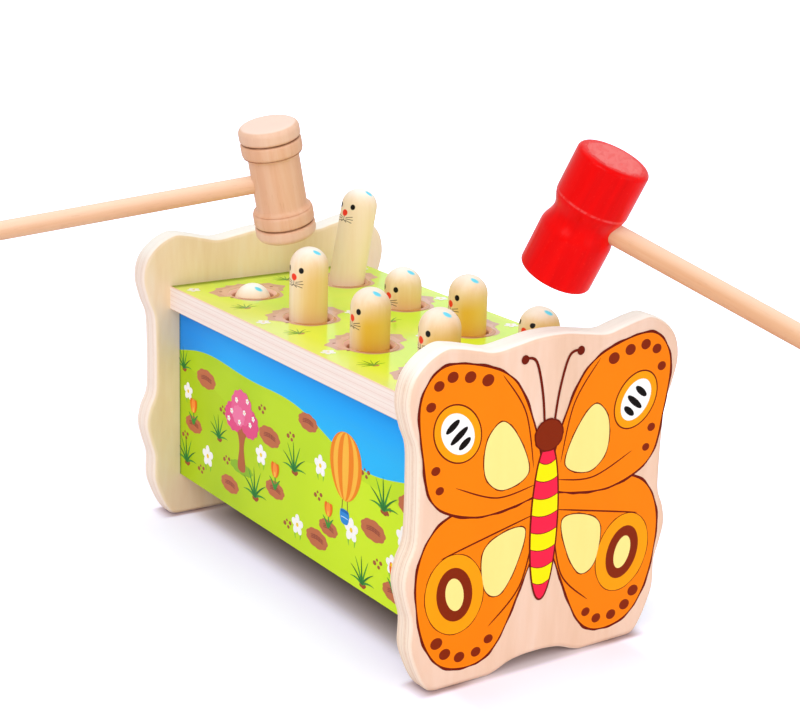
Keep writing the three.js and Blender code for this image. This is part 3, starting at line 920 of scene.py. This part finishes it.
def peg_profile():
    """Half a peg, from its foot to its crown at height zero: a chamfered foot, a straight side and a
    half-round crown. The way along is measured from the crown, down over the dome."""
    cut, over_foot, under_dome = 1.0, 12, 6
    foot = [(0, -PEG_LENGTH), (PEG_RADIUS - cut, -PEG_LENGTH),
            (PEG_RADIUS - 0.3 * cut, -PEG_LENGTH + 0.3 * cut), (PEG_RADIUS, -PEG_LENGTH + cut)]
    heights = np.linspace(-PEG_LENGTH + over_foot, -PEG_RADIUS - under_dome, 5)
    sides = np.stack([np.full(5, PEG_RADIUS), heights], 1)
    dome = arc((0, -PEG_RADIUS), PEG_RADIUS, 0, 90, 18)
    dome[-1, 0] = 0
    profile = np.vstack([foot, sides, dome])
    steps = np.linalg.norm(np.diff(profile, axis=0), axis=1)
    return profile, np.append(np.cumsum(steps[::-1])[::-1], 0)


def make_moles():
    """Each peg stands where its node does. The tall one leans over its foot towards +X. A face that is
    painted higher keeps its ears: the rise sets in below them."""
    wood = peg_wood()
    profile, along = peg_profile()
    points, faces, surface = lathed(profile, 72, along)
    for node in (name for name in frame["nodes"] if name.startswith("mole_")):
        low, high = box_mm(node)
        crown = np.array([(low[0] + high[0]) / 2, (low[1] + high[1]) / 2, high[2]])
        up = np.array([0, 0, 1.0])
        if node == "mole_rear_right":
            up = np.array([math.sin(TALL_PEG_LEAN), 0, math.cos(TALL_PEG_LEAN)])
            crown = np.array([high[0], crown[1], high[2]]) + (up - (1, 0, 1)) * PEG_RADIUS
        turn = math.radians(FACE_TURNS.get(node, 0))
        right = np.cross((0, 1, 0), up) * math.cos(turn) + np.array([0, 1, 0]) * math.sin(turn)
        risen = np.clip((surface[:, 1] - LIFT_START) / (LIFT_WHOLE - LIFT_START), 0, 1)
        down = surface[:, 1] + FACE_LIFTS.get(node, 0) * risen
        put = placed(points, crown, right, np.cross(up, right), up)
        painted = np.column_stack([surface[:, 0], down])
        mesh = make_mesh(f"{node}_peg", put, faces, crease=50, surface=painted)
        piece(f"{node}_peg", mesh, wood, frame["nodes"][node]["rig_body"], [node])


# The mallets

def natural_head_profile():
    """Half of the natural head: end discs and bands with a burnt groove between them, over a slimmer
    barrel."""
    radius, barrel, band, rim = 15.35, 12.9, 7.6, 3
    groove_half, groove_depth = 1.6, 1.5
    hollow, shoulder_edge, groove_edge, end_edge = 2.6, 1.8, 1.3, 3.3
    groove, shoulder = GROOVE_PLACE, GROOVE_PLACE - band
    barrel_end, hollow_middle = shoulder - 6.5, shoulder - 2.5
    upper = np.vstack([
        [(barrel, 0), (barrel + 0.05, barrel_end)],
        arc((barrel + hollow, hollow_middle), hollow, 180, 105, 6),
        arc((radius - shoulder_edge, shoulder + shoulder_edge), shoulder_edge, -90, 0, 6),
        arc((radius - groove_edge, groove - groove_half), groove_edge, 0, 70, 5),
        [(radius - groove_depth, groove)],
        arc((radius - groove_edge, groove + groove_half), groove_edge, -70, 0, 5),
        arc((radius - end_edge, NATURAL_HEAD_HALF - end_edge), end_edge, 0, 90, 8),
        [(radius - end_edge - rim, NATURAL_HEAD_HALF), (0, NATURAL_HEAD_HALF)],
    ])
    return np.vstack([upper[:0:-1] * (1, -1), upper])


def red_head_profile():
    """Half of the red head: a cylinder with rounded ends and a smooth waist, whose radius is less by
    depth/2 * (1 + cos) over its reach."""
    radius, edge, depth, rim = 16.5, 2.2, 2.3, 4
    t = np.linspace(-1, 1, 25)
    waist = np.stack([radius - depth * (1 + np.cos(math.pi * t)) / 2, t * RED_WAIST_REACH], 1)
    end = np.vstack([arc((radius - edge, RED_HEAD_HALF - edge), edge, 0, 90, 8),
                     [(radius - edge - rim, RED_HEAD_HALF), (0, RED_HEAD_HALF)]])
    return np.vstack([end[::-1] * (1, -1), waist, end])


def handle_profile(radius):
    """Half of a handle along its axis: a square shank end, a shaft that swells by 4% to the grip, and a
    round end. Its radius is less by swell * (1 - t) ** 2 along the shaft."""
    start, length, edge, swell = HANDLE_START, HANDLE_LENGTH, 2.6, 0.04
    t = np.linspace(0, 1, 12)
    shaft = np.stack([radius * (1 - swell * (1 - t) ** 2), start + (length - edge - start) * t], 1)
    end = arc((radius - edge, length - edge), edge, 0, 90, 8)
    return np.vstack([[(0, start)], shaft[:-1], end, [(0, length)]])


def mallet_frame(head_node, handle_way, axis_way):
    """Centre of the head, and the mallet's own frame: X along the handle and Z along the head."""
    low, high = box_mm(head_node)
    z_way = np.array(axis_way) / np.linalg.norm(axis_way)
    x_way = np.array(handle_way) - z_way * np.dot(handle_way, z_way)
    x_way /= np.linalg.norm(x_way)
    return (low + high) / 2, x_way, np.cross(z_way, x_way), z_way


def columns(*ways):
    """The matrix whose columns are three directions."""
    return Matrix([[way[row] for way in ways] for row in range(3)])


def make_mallet(name, own_frame, head_profile, head_finish, head_slot, handle_radius, handle_tones):
    """The head is turned about the mallet's Z and the handle about its X."""
    centre, x_way, y_way, z_way = own_frame
    handle_ways = (-z_way, y_way, x_way)
    handle_beech = beech(f"{name}_shaft_beech", columns(*handle_ways), handle_tones)
    shaft = handle_profile(handle_radius)
    for part, profile, segments, ways, crease, finish, slot, node in (
            ("head", head_profile, 128, own_frame[1:], 38, head_finish, head_slot, "head"),
            ("shaft", shaft, 48, handle_ways, 40, handle_beech, "mallet_wood", "handle")):
        points, faces, surface = lathed(profile, segments)
        put = placed(points, centre, *ways)
        mesh = make_mesh(f"{name}_{part}", put, faces, crease=crease, surface=surface)
        piece(f"{name}_{part}", mesh, finish, f"{name}_mallet", [f"{name}_mallet_{node}"])


# Directions of each handle, away from its head, and of each head's axis
NATURAL_WAYS = ((-0.8789, 0.4386, -0.1874), (-0.2391, -0.0651, 0.9688))
RED_WAYS = ((0.5792, -0.7046, -0.4101), (0.1771, -0.3823, 0.9069))
NATURAL_HANDLE_RADIUS, RED_HANDLE_RADIUS = 4.85, 5.0


def make_mallets():
    """A natural mallet with two burnt grooves and a red one, each on a natural handle."""
    natural = mallet_frame("natural_mallet_head", *NATURAL_WAYS)
    red = mallet_frame("red_mallet_head", *RED_WAYS)
    head_beech = beech("natural_head_beech", columns(*natural[1:]), ("#D9A07A", "#E1AD88", "#E8BE9E"),
                       (GROOVE_PLACE, GROOVE_WIDTH), NATURAL_HEAD_HALF)
    make_mallet("natural", natural, natural_head_profile(), head_beech, "mallet_wood",
                NATURAL_HANDLE_RADIUS, ("#DFA77B", "#E8B790", "#EFC8A4"))
    make_mallet("red", red, red_head_profile(), red_paint(columns(*red[1:]), red[0]), "red_paint",
                RED_HANDLE_RADIUS, ("#D69B6B", "#DEAA7E", "#E5B98F"))


# Prints

ORANGE, OUTLINE, DARK_BROWN, BLACK = "#FF8400", "#6E1600", "#842600", "#0C0604"
CREAM, AMBER, MAGENTA, YELLOW = "#FCEB8F", "#FDA104", "#F4234A", "#FFF000"

# Outlines of the butterfly's right half, in shares of the panel's half width and height
UPPER_WING_SHARES = [(0.03, 0.575), (0.11, 0.73), (0.27, 0.875), (0.52, 0.935), (0.78, 0.945), (0.915, 0.86),
                     (0.885, 0.7), (0.8, 0.565), (0.52, 0.505), (0.24, 0.51), (0.05, 0.535)]
LOWER_WING_SHARES = [(0.04, 0.54), (0.24, 0.54), (0.5, 0.54), (0.78, 0.49), (0.9, 0.37), (0.865, 0.2),
                     (0.73, 0.085), (0.5, 0.055), (0.32, 0.1), (0.17, 0.24), (0.05, 0.39)]
UPPER_PATCH_SHARES = [(0.14, 0.6), (0.21, 0.7), (0.34, 0.765), (0.45, 0.715), (0.45, 0.615), (0.32, 0.565)]
LOWER_PATCH_SHARES = [(0.14, 0.43), (0.3, 0.435), (0.44, 0.39), (0.42, 0.28), (0.31, 0.25), (0.2, 0.32)]
VEIN_SHARES = [[(0.08, 0.56), (0.36, 0.545), (0.66, 0.6)], [(0.1, 0.61), (0.18, 0.78), (0.36, 0.9)],
               [(0.08, 0.47), (0.46, 0.43), (0.74, 0.4)], [(0.07, 0.42), (0.16, 0.26), (0.38, 0.16)]]
FEELER_SHARES = [(0.03, 0.7), (0.06, 0.82), (0.12, 0.92), (0.2, 0.935)]
UPPER_RING_SHARES, LOWER_RING_SHARES, KNOB_SHARES = (0.66, 0.755), (0.635, 0.285), (0.205, 0.932)
# Ovals of the rings, from the outermost: width, height, colour and layer. The upper ring has three marks
# across it, each with its place along the ring and its width.
UPPER_RING_TURN, LOWER_RING_TURN = -38, -14
UPPER_RING = ((23.6, 29.4, OUTLINE, 4), (22.2, 28, AMBER, 5), (15.5, 21, WHITE, 6))
LOWER_RING = ((19, 26, DARK_BROWN, 4), (9.5, 16, CREAM, 5))
RING_MARKS, RING_MARK_HEIGHT = ((-6.2, 7.5), (-1.2, 11), (4.6, 8.5)), 3.2
# Numbers of the wing outlines' points that have a spot beside them, how far in the spots lie, the first
# one's width and how much less the next one's is
UPPER_SPOTS, LOWER_SPOTS = (27, 32, 37, 44, 51, 63, 68), (55, 60, 66, 73, 80)
SPOT_MARGIN, SPOT_WIDTH, SPOT_STEP = 5.2, 6.4, 0.34


def butterfly_wings(picture, side):
    """One side of the butterfly: two orange wings with cream patches, amber rings and rows of round spots."""
    def shape(shares, steps=10, closed=True):
        """A smooth line through shares of the panel, on this side of its middle."""
        return curve(in_panel(shares), steps, closed) * (side, 1)

    upper, lower = shape(UPPER_WING_SHARES), shape(LOWER_WING_SHARES)
    for outline, colour, width, layer in (
            (lower, ORANGE, 1.1, 0), (upper, ORANGE, 1.1, 2),
            (shape(UPPER_PATCH_SHARES), CREAM, 0.55, 4), (shape(LOWER_PATCH_SHARES), CREAM, 0.55, 2)):
        picture.framed(outline, colour, OUTLINE, width, layer)
    middle, turn = in_panel(UPPER_RING_SHARES) * (side, 1), UPPER_RING_TURN * side
    for wide, high, colour, layer in UPPER_RING:
        picture.lay(oval(*middle, wide, high, turn, 48), colour, layer)
    way = on_circle(math.radians(90 + turn))
    for along, wide in RING_MARKS:
        picture.lay(oval(*(middle + along * way), wide, RING_MARK_HEIGHT, turn, 32), BLACK, 7)
    middle, turn = in_panel(LOWER_RING_SHARES) * (side, 1), LOWER_RING_TURN * side
    picture.framed(oval(*middle, 31, 38, turn, 48), AMBER, OUTLINE, 0.4, 2)
    for (wide, high, colour, layer), count in zip(LOWER_RING, (40, 32)):
        picture.lay(oval(*middle, wide, high, turn, count), colour, layer)
    for outline, places, layer in ((upper, UPPER_SPOTS, 4), (lower, LOWER_SPOTS, 2)):
        margin = grown(outline, -SPOT_MARGIN)
        for number, place in enumerate(places):
            wide = SPOT_WIDTH - SPOT_STEP * number
            picture.lay(oval(*margin[place], wide, wide * 0.85), DARK_BROWN, layer)
    for shares in VEIN_SHARES:
        picture.lay(stroke(shape(shares, 12, closed=False), 0.7, 0.9), OUTLINE, 4)
    picture.lay(stroke(shape(FEELER_SHARES, closed=False), 1.3, 0.3), OUTLINE, 4)
    picture.lay(oval(*(in_panel(KNOB_SHARES) * (side, 1)), 4.2, 4.2), OUTLINE, 5)


def butterfly_body(picture):
    """A striped body: an ellipse cut in nine bands whose ends sag, and a round head."""
    middle, half_high, half_wide, bands = 0.44 * panel_height, 0.235 * panel_height, 7.2, 9
    picture.lay(grown(oval(0, middle, 2 * half_wide, 2 * half_high, 0, 72), 0.9), OUTLINE, 5)
    edges = np.linspace(-1, 1, bands + 1) * 0.997
    flat = np.linspace(1, -1, 9)
    sag = 1.6 * (1 - flat**2)
    for band, (low, high) in enumerate(zip(edges[:-1], edges[1:])):
        t = np.linspace(low + (0.011 if band else 0), high, 9)
        half = half_wide * np.sqrt(1 - t**2)
        right = np.stack([half, middle + half_high * t], 1)
        top, bottom = (np.stack([way * flat * half[end], right[end, 1] - sag * (half[end] > 2)], 1)[1:-1]
                       for way, end in ((1, -1), (-1, 0)))
        picture.lay(np.vstack([right, top, right[::-1] * (-1, 1), bottom]), (MAGENTA, YELLOW)[band % 2], 6)
    picture.framed(oval(0, 0.7 * panel_height, 15, 14, 0, 40), DARK_BROWN, OUTLINE, 0.7, 7)


def print_front():
    """The butterfly on the front panel."""
    picture = Print((0, front_low[1], floor_height), right=(1, 0, 0), up=(0, 0, 1))
    for side in (-1, 1):
        butterfly_wings(picture, side)
    butterfly_body(picture)
    piece("front_picture", picture.mesh("front_picture"), printing_ink("front_ink"), "box")


MOUND, STREAK, PEBBLE, ROOT, BARK = "#C4714B", "#9A5040", "#A85E3C", "#A5502E", "#B9683F"
GRASS, GRASS_DARK, LEAF, POLLEN = "#3F9A3C", "#2C7A35", "#7CC142", "#FBD42A"
PETAL, PETAL_LIGHT, PETAL_EYE = "#F4741C", "#FF9A3C", "#FFC24A"
PINK, PINK_MIDDLE, PINK_LIGHT, TREE_FOOT = "#E9558A", "#F0699A", "#F57FAB", "#8FBF2E"
GORE_ORANGE, GORE_AMBER = "#F58A1E", "#FFC044"
ROPE, BASKET, BASKET_RIM, BASKET_BAND = "#8A5A34", "#2F8FE0", "#1B6FBE", "#BFE2FF"


def mound(picture, x, y, wide=16, turn=-12):
    """A heap of earth: a bumpy oval with three dark streaks along it."""
    picture.lay(scalloped(x, y, wide, wide * 0.5, 9, 0.08, turn, 72), MOUND)
    for rise in (-0.8, 0, 0.8):
        path = [(x - wide * 0.28, y + rise), (x, y + rise + 0.7), (x + wide * 0.3, y + rise - 0.2)]
        picture.lay(stroke(curve(path, 6, closed=False), 0.55, 0.9, 0.3), STREAK, 1)


def pebbles(picture, x, y, size=2.4):
    """Four crumbs of earth."""
    for dx, dy, share in ((0, 0, 1), (3.4, -1.1, 0.8), (1.9, 2.0, 0.6), (5.0, 1.4, 0.9)):
        picture.lay(scalloped(x + dx, y + dy, size * share * 1.2, size * share, 5, 0.14, 0, 20), PEBBLE)


def tuft(picture, x, y, size=9, colours=(GRASS, GRASS_DARK), root=ROOT):
    """Seven bent blades over a small root of earth."""
    picture.lay(scalloped(x + 0.6, y - 0.6, size * 0.42, size * 0.26, 5, 0.15, 0, 24), root)
    for place, lean in enumerate((-62, -40, -20, -3, 16, 38, 60)):
        reach = size * (0.72 + 0.28 * math.cos(math.radians(lean * 1.4)))
        picture.lay(blade(x, y - 0.4, reach, lean, size * 0.1), colours[place % 2], 1 + place % 2)


def daisy(picture, x, y, size=7, leaf=True):
    """Five white petals round a yellow eye, on a pair of green leaves."""
    if leaf:
        for lean in (-125, 120):
            picture.lay(blade(x, y, size * 0.72, lean, size * 0.22), LEAF)
    for petal in range(5):
        angle = 72 * petal + 20
        dx, dy = size * 0.27 * on_circle(math.radians(angle))
        picture.lay(oval(x + dx, y + dy, size * 0.46, size * 0.36, angle, 20), WHITE, 1 + petal % 2)
    picture.lay(oval(x, y, size * 0.2, size * 0.2, 0, 14), POLLEN, 3)


def tulip(picture, x, y, size=9):
    """An orange tulip that grows out of a heap of earth: stem, two leaves and a cup of three petals."""
    mound(picture, x, y, size * 1.7, 6)
    picture.lay(stroke([(x, y), (x + 0.2, y + size * 0.35), (x, y + size * 0.7)], 0.9, 0.2), GRASS, 2)
    for lean in (-34, 30):
        picture.lay(blade(x, y + 0.5, size * 0.7, lean, size * 0.2), GRASS, 2)
    top = y + size * 0.95
    for lean, colour, layer in ((-16, PETAL, 3), (16, PETAL, 3), (0, PETAL_LIGHT, 4)):
        middle = x + math.sin(math.radians(lean)) * size * 0.55
        picture.lay(oval(middle, top, size * 0.36, size * 0.72, -lean, 24), colour, layer)
    picture.lay(oval(x, top - size * 0.2, size * 0.16, size * 0.26, 0, 16), PETAL_EYE, 5)


def blossom_tree(picture, x, y, size=40):
    """A brown tree with a round pink crown and white blossom."""
    trunk = [(x + dx, y + size * dy) for dx, dy in (
        (-3.6, 0), (-2.2, 0.3), (-4.2, 0.55), (0, 0.7), (4.4, 0.55), (2.4, 0.3), (4.0, 0))]
    picture.lay(scalloped(x, y + 0.5, 24, 7, 9, 0.1), TREE_FOOT)
    picture.lay(curve(trunk), BARK, 1)
    for lean, reach in ((-38, 15), (40, 13)):
        picture.lay(blade(x, y + size * 0.38, reach, lean, 3.2, 0.1), BARK, 1)
    for dx, dy, wide, colour, layer in ((-8, 0.66, 19, PINK, 2), (8, 0.67, 19, PINK, 2),
                                        (0, 0.83, 22, PINK_MIDDLE, 3), (-3, 0.7, 13, PINK_LIGHT, 4)):
        picture.lay(scalloped(x + dx, y + size * dy, wide, wide * 0.86, 11, 0.1, 10, 88), colour, layer)
    for dx, dy in ((-10, 0.72), (-5, 0.9), (3, 0.78), (9, 0.66), (6, 0.95), (-2, 0.62), (12, 0.76),
                   (-13, 0.6)):
        picture.lay(scalloped(x + dx, y + size * dy, 3.2, 3.2, 5, 0.35, 0, 30), WHITE, 5)
        picture.lay(oval(x + dx, y + size * dy, 0.8, 0.8, 0, 10), POLLEN, 6)


def balloon(picture, x, y, size=27):
    """A balloon in amber and orange gores over a blue basket. A gore's edge is the balloon's, drawn in by a
    share."""
    t = np.linspace(0, math.pi, 25)
    lobe = size / 2 * np.sin(t) * (1 + 0.12 * np.cos(t))
    height = y + size * 0.62 * np.cos(t) + size * 0.12
    for number, share in enumerate((1, 0.78, 0.5, 0.2)):
        right, left = (np.stack([x + side * lobe * share, height], 1) for side in (1, -1))
        picture.lay(np.vstack([right, left[-2:0:-1]]), (GORE_ORANGE, GORE_AMBER)[number % 2], number + 1)
    base = y - size * 0.5
    for side in (-1, 1):
        rope = [(x + side * 2.0, base + 0.6), (x + side * 2.3, base - 3), (x + side * 2.6, base - 6)]
        picture.lay(stroke(rope, 0.5, 0.1), ROPE, 1)
    basket = [(x - 3.4, base - 5), (x + 3.4, base - 5), (x + 2.8, base - 11), (x - 2.8, base - 11)]
    picture.lay(curve(basket, 6), BASKET, 2)
    for reach, drop, width, colour in ((3.4, 5.4, 1.4, BASKET_RIM), (2.9, 8.4, 0.5, BASKET_BAND)):
        band = [(x - reach, base - drop), (x, base - drop + 0.2), (x + reach, base - drop)]
        picture.lay(stroke(band, width, 0.1), colour, 3)


# Where the motifs lie on a side board, from its middle and its lower edge: x, y and their own sizes
SIDE_LAYOUT = (
    (mound, [(-86, 62, 21, -8), (-20, 50, 21, -10), (16, 68, 18, 0), (104, 54, 22, -8), (74, 33, 21, -8),
             (-60, 12, 19, 6), (26, 12, 20, -6)]),
    (tulip, [(-100, 33, 11), (-14, 24, 11), (92, 9, 11), (36, 21, 10)]),
    (tuft, [(-108, 10, 15), (-72, 34, 13), (-34, 14, 16), (4, 40, 15), (82, 46, 16), (66, 4, 14),
            (108, 28, 14), (-111, 62, 12)]),
    (daisy, [(-106, 50, 10), (-84, 20, 12), (-28, 38, 11), (8, 13, 11), (28, 50, 11), (56, 27, 12),
             (98, 38, 11), (90, 22, 10)]),
    (pebbles, [(-94, 10), (-66, 24), (-30, 62), (-4, 10), (-2, 56), (24, 34), (76, 18), (82, 46), (106, 12),
               (-112, 24), (64, 58), (-70, 50)]),
    (blossom_tree, [(-48, 24)]),
    (balloon, [(50, 53)]),
)
DECK_TUFTS = [(-47, 58), (2, 100), (-8, 57), (47, 52), (-48, 4), (4, 2), (47, -4), (-46, -58), (6, -54),
              (48, -60), (0, -102)]
DECK_DAISIES = [(-53, 103), (-2, 76), (53, 104), (53, 28), (-53, 30), (-4, 26), (-53, -30), (3, -27),
                (53, -32), (-2, -82), (52, -104), (-53, -104)]


def print_sides():
    """The meadow on both side boards. Seen from outside, each runs from left to right."""
    for name, side in (("left_meadow", 1), ("right_meadow", -1)):
        picture = Print((side * side_low[0], 0, side_low[2]), right=(0, -side, 0), up=(0, 0, 1))
        for motif, places in SIDE_LAYOUT:
            for place in places:
                motif(picture, *place)
        piece(name, picture.mesh(name), printing_ink(f"{name}_ink", 0.38), "box")


PATCH_SHIFT = (0.8, 5.5)
# The third colour is the painted reflection and shade of each peg in front of its hole
EARTH, EARTH_LIGHT, PEG_REFLECTION_BROWN, CLOD = "#D8A48C", "#E6B49E", "#C98240", "#A0543C"
DECK_GREENS, DECK_ROOT = ("#7CC01E", "#4F9A30"), "#C4765A"
# Directions of a patch's clods in degrees, and how far they lie to the side and along the box
CLOD_WAYS, CLOD_REACH = (150, 205, 20), (16.2, 14.5)


def earth_patch(picture, x, y, shift):
    """A jagged patch of dug earth, printed a little to the rear of its hole, with three clods, and a brown
    crescent in front of the hole that is painted reflection and shade of the peg. Its radius from its own
    middle is 14.2 + 6 * |cos| ** 6, with thirteen spikes and three slow waves on it. It is no nearer to the
    hole than edge, and reaches on in front."""
    angle = round_turn(132)
    edge = COUNTERSINK_RADIUS + 0.2
    reach = (14.2 + 6.0 * np.abs(np.cos(angle)) ** 6 + 2.2 * (1 - np.abs(np.sin(6.5 * angle + shift)))
             + 0.8 * np.sin(3 * angle + shift))
    from_hole = on_circle(angle) * reach[:, None] + PATCH_SHIFT
    distance = np.linalg.norm(from_hole, axis=1)[:, None]
    way = from_hole / distance
    front = np.clip(way[:, 1:] * -1.6, 0, 1) * (3.3 + 0.5 * np.sin(9 * angle))[:, None]
    for share, colour, layer in ((1, EARTH, 0), (0.5, EARTH_LIGHT, 1)):
        far = edge + 0.3 + share * np.maximum(distance - edge - 0.3, front)
        picture.lay(way * far + (x, y), colour, layer, way * edge + (x, y))
    # Painted reflection and shade of the peg, in orange-brown, on the front lip of its hole
    lip = arc((0, 0), edge, 205, 335, 24)
    swell = 2.9 * np.sin(np.linspace(0, math.pi, 25)) ** 0.6
    crescent = np.vstack([lip, (lip * (1 + swell / edge)[:, None])[::-1]])
    picture.lay(crescent + (x, y), PEG_REFLECTION_BROWN, 3)
    for turn in np.radians(CLOD_WAYS):
        clod = on_circle(turn) * CLOD_REACH + (x, y + 2)
        picture.lay(scalloped(*clod, 2.0, 1.5, 5, 0.15, 0, 16), CLOD, 2)


def print_deck():
    """A patch of earth round each hole of the deck, with tufts and flowers between them."""
    picture = Print((0, 0, deck_high[2]), right=(1, 0, 0), up=(0, 1, 0))
    for row, y in enumerate(ROW_PLACES):
        for column, x in enumerate((-COLUMN_PLACE, COLUMN_PLACE)):
            earth_patch(picture, x, y, row * 1.3 + column * 2.1)
    for x, y in DECK_TUFTS:
        tuft(picture, x, y, 9.5, DECK_GREENS, DECK_ROOT)
    for x, y in DECK_DAISIES:
        daisy(picture, x, y, 7.5, leaf=False)
    ink = printing_ink("deck_ink", 0.4, VARNISH)
    piece("deck_picture", picture.mesh("deck_picture"), ink, "box")


# Floor, light and camera

WORLD_LEVEL, SEEN_IN_GLOSS = 0.6, 0.8
FLOOR_REACH = 6000
# How far from the box the floor's glow sets in and is whole, near it and farther away
NEAR_GLOW, FAR_GLOW = (0, 60), (60, 500)
SENSOR_WIDTH, FOCAL_LENGTH = 36, 77.64
NEAREST_SEEN, FARTHEST_SEEN = 0.05, 50
CAMERA_PLACE = (-0.46527, -0.68068, 0.22270)
# Degrees that the camera turns to the left, looks down and rolls
CAMERA_TURNS = (-34.8439, 16.1865, 1.8801)
# Places in metres, sizes in metres and powers in watts of the soft lamps
LAMPS = {"key": ((-1.3, -0.95, 1.35), 1.4, 18), "fill": ((0.5, -1.7, 0.35), 1.6, 10),
         "top": ((0.2, 0.5, 1.9), 1.6, 8)}


def make_stage():
    """A pale floor with a touch of mauve, with a painted shadow under the box and a brown painted contact
    shadow where its panels stand. To the camera it glows, and more so the farther it lies from the toy: it
    turns white all round and keeps the soft shadow beside the box."""
    corners = [(x * FLOOR_REACH, y * FLOOR_REACH, floor_height)
               for x, y in ((-1, -1), (1, -1), (1, 1), (-1, 1))]
    floor = add_object("floor", make_mesh("floor", corners, [(0, 1, 2, 3)], merge=False))
    paper = Finish("paper", Roughness=0.9)
    x, y = (abs(part) for part in paper.split(paper.place())[:2])
    away = how_far((x - panel_half_width).higher(0), (y - rear_high[1]).higher(0))
    beside = x.rise(40, 54).higher(y.rise(118, 134) * 0.6)
    # Painted shadow under the box, and a brown painted contact shadow along the feet of the end panels, where
    # the glow is also weaker
    under = x.rise(52, 14) * y.rise(126, 98)
    crevice = x.rise(69, 56) * abs(y - (rear_low[1] + rear_high[1]) / 2).rise(10.5, 6.0)
    paper.set(Base_Color=paper.layers(
        "#F4EFF8", (crevice * (0.35 + x.rise(27, 48) * 0.45), "#9A6444"), (under * 0.95, "#3E2C26")))
    seen = Value(paper.tree, paper.node("ShaderNodeLightPath").outputs["Is Camera Ray"])
    beside = beside * 0.33 * (1 - crevice * 0.7)
    strength = seen * (beside + away.rise(*NEAR_GLOW) * 0.3 + away.rise(*FAR_GLOW) * 0.6)
    glow = paper.node("ShaderNodeEmission", sockets={"Color": "#D6E2FF", "Strength": strength})
    shaders = {0: paper.shader.outputs["BSDF"], 1: glow.outputs["Emission"]}
    both = paper.node("ShaderNodeAddShader", sockets=shaders).outputs["Shader"]
    feed(paper.tree, paper.tree.nodes["Material Output"].inputs["Surface"], both)
    floor.data.materials.append(paper.material)


def make_world():
    """Even white surroundings: a soft level on the toy, full white where the camera sees them, and nearly
    white in what shines."""
    world = bpy.data.worlds.new("studio")
    bpy.context.scene.world = world
    world.use_nodes = True
    tree = world.node_tree
    path = add_node(tree, "ShaderNodeLightPath")
    straight, glossy = (Value(tree, path.outputs[ray]) for ray in ("Is Camera Ray", "Is Glossy Ray"))
    strength = straight.higher(glossy * SEEN_IN_GLOSS) * (1 - WORLD_LEVEL) + WORLD_LEVEL
    background = tree.nodes["Background"]
    feed(tree, background.inputs["Color"], WHITE)
    feed(tree, background.inputs["Strength"], strength)


def light_the_set():
    """Square soft lamps, turned towards the toy."""
    for name, (place, size, power) in LAMPS.items():
        data = bpy.data.lights.new(name, "AREA")
        data.shape, data.size, data.energy = "SQUARE", size, power
        lamp = add_object(name, data)
        lamp.location = place
        lamp.rotation_euler = (-Vector(place)).to_track_quat("-Z", "Y").to_euler()


def make_camera():
    """The photograph's view: a long lens that looks down on the front left corner."""
    data = bpy.data.cameras.new("view")
    data.sensor_width, data.lens = SENSOR_WIDTH, FOCAL_LENGTH
    data.clip_start, data.clip_end = NEAREST_SEEN, FARTHEST_SEEN
    camera = add_object("view", data)
    bpy.context.scene.camera = camera
    (yaw_x, yaw_y), (level, down), (c, s) = on_circle(np.radians(CAMERA_TURNS))
    ahead = Vector((-yaw_y * level, yaw_x * level, -down))
    right = Vector((yaw_x, yaw_y, 0))
    up = right.cross(ahead)
    turn = columns(right * c + up * s, up * c - right * s, -ahead).to_4x4()
    camera.matrix_world = Matrix.Translation(CAMERA_PLACE) @ turn


bpy.context.scene.view_settings.view_transform = "Standard"
make_camera()
make_stage()
make_world()
light_the_set()
make_end_panels()
make_deck()
dress_nodes()
make_moles()
make_mallets()
print_front()
print_sides()
print_deck()
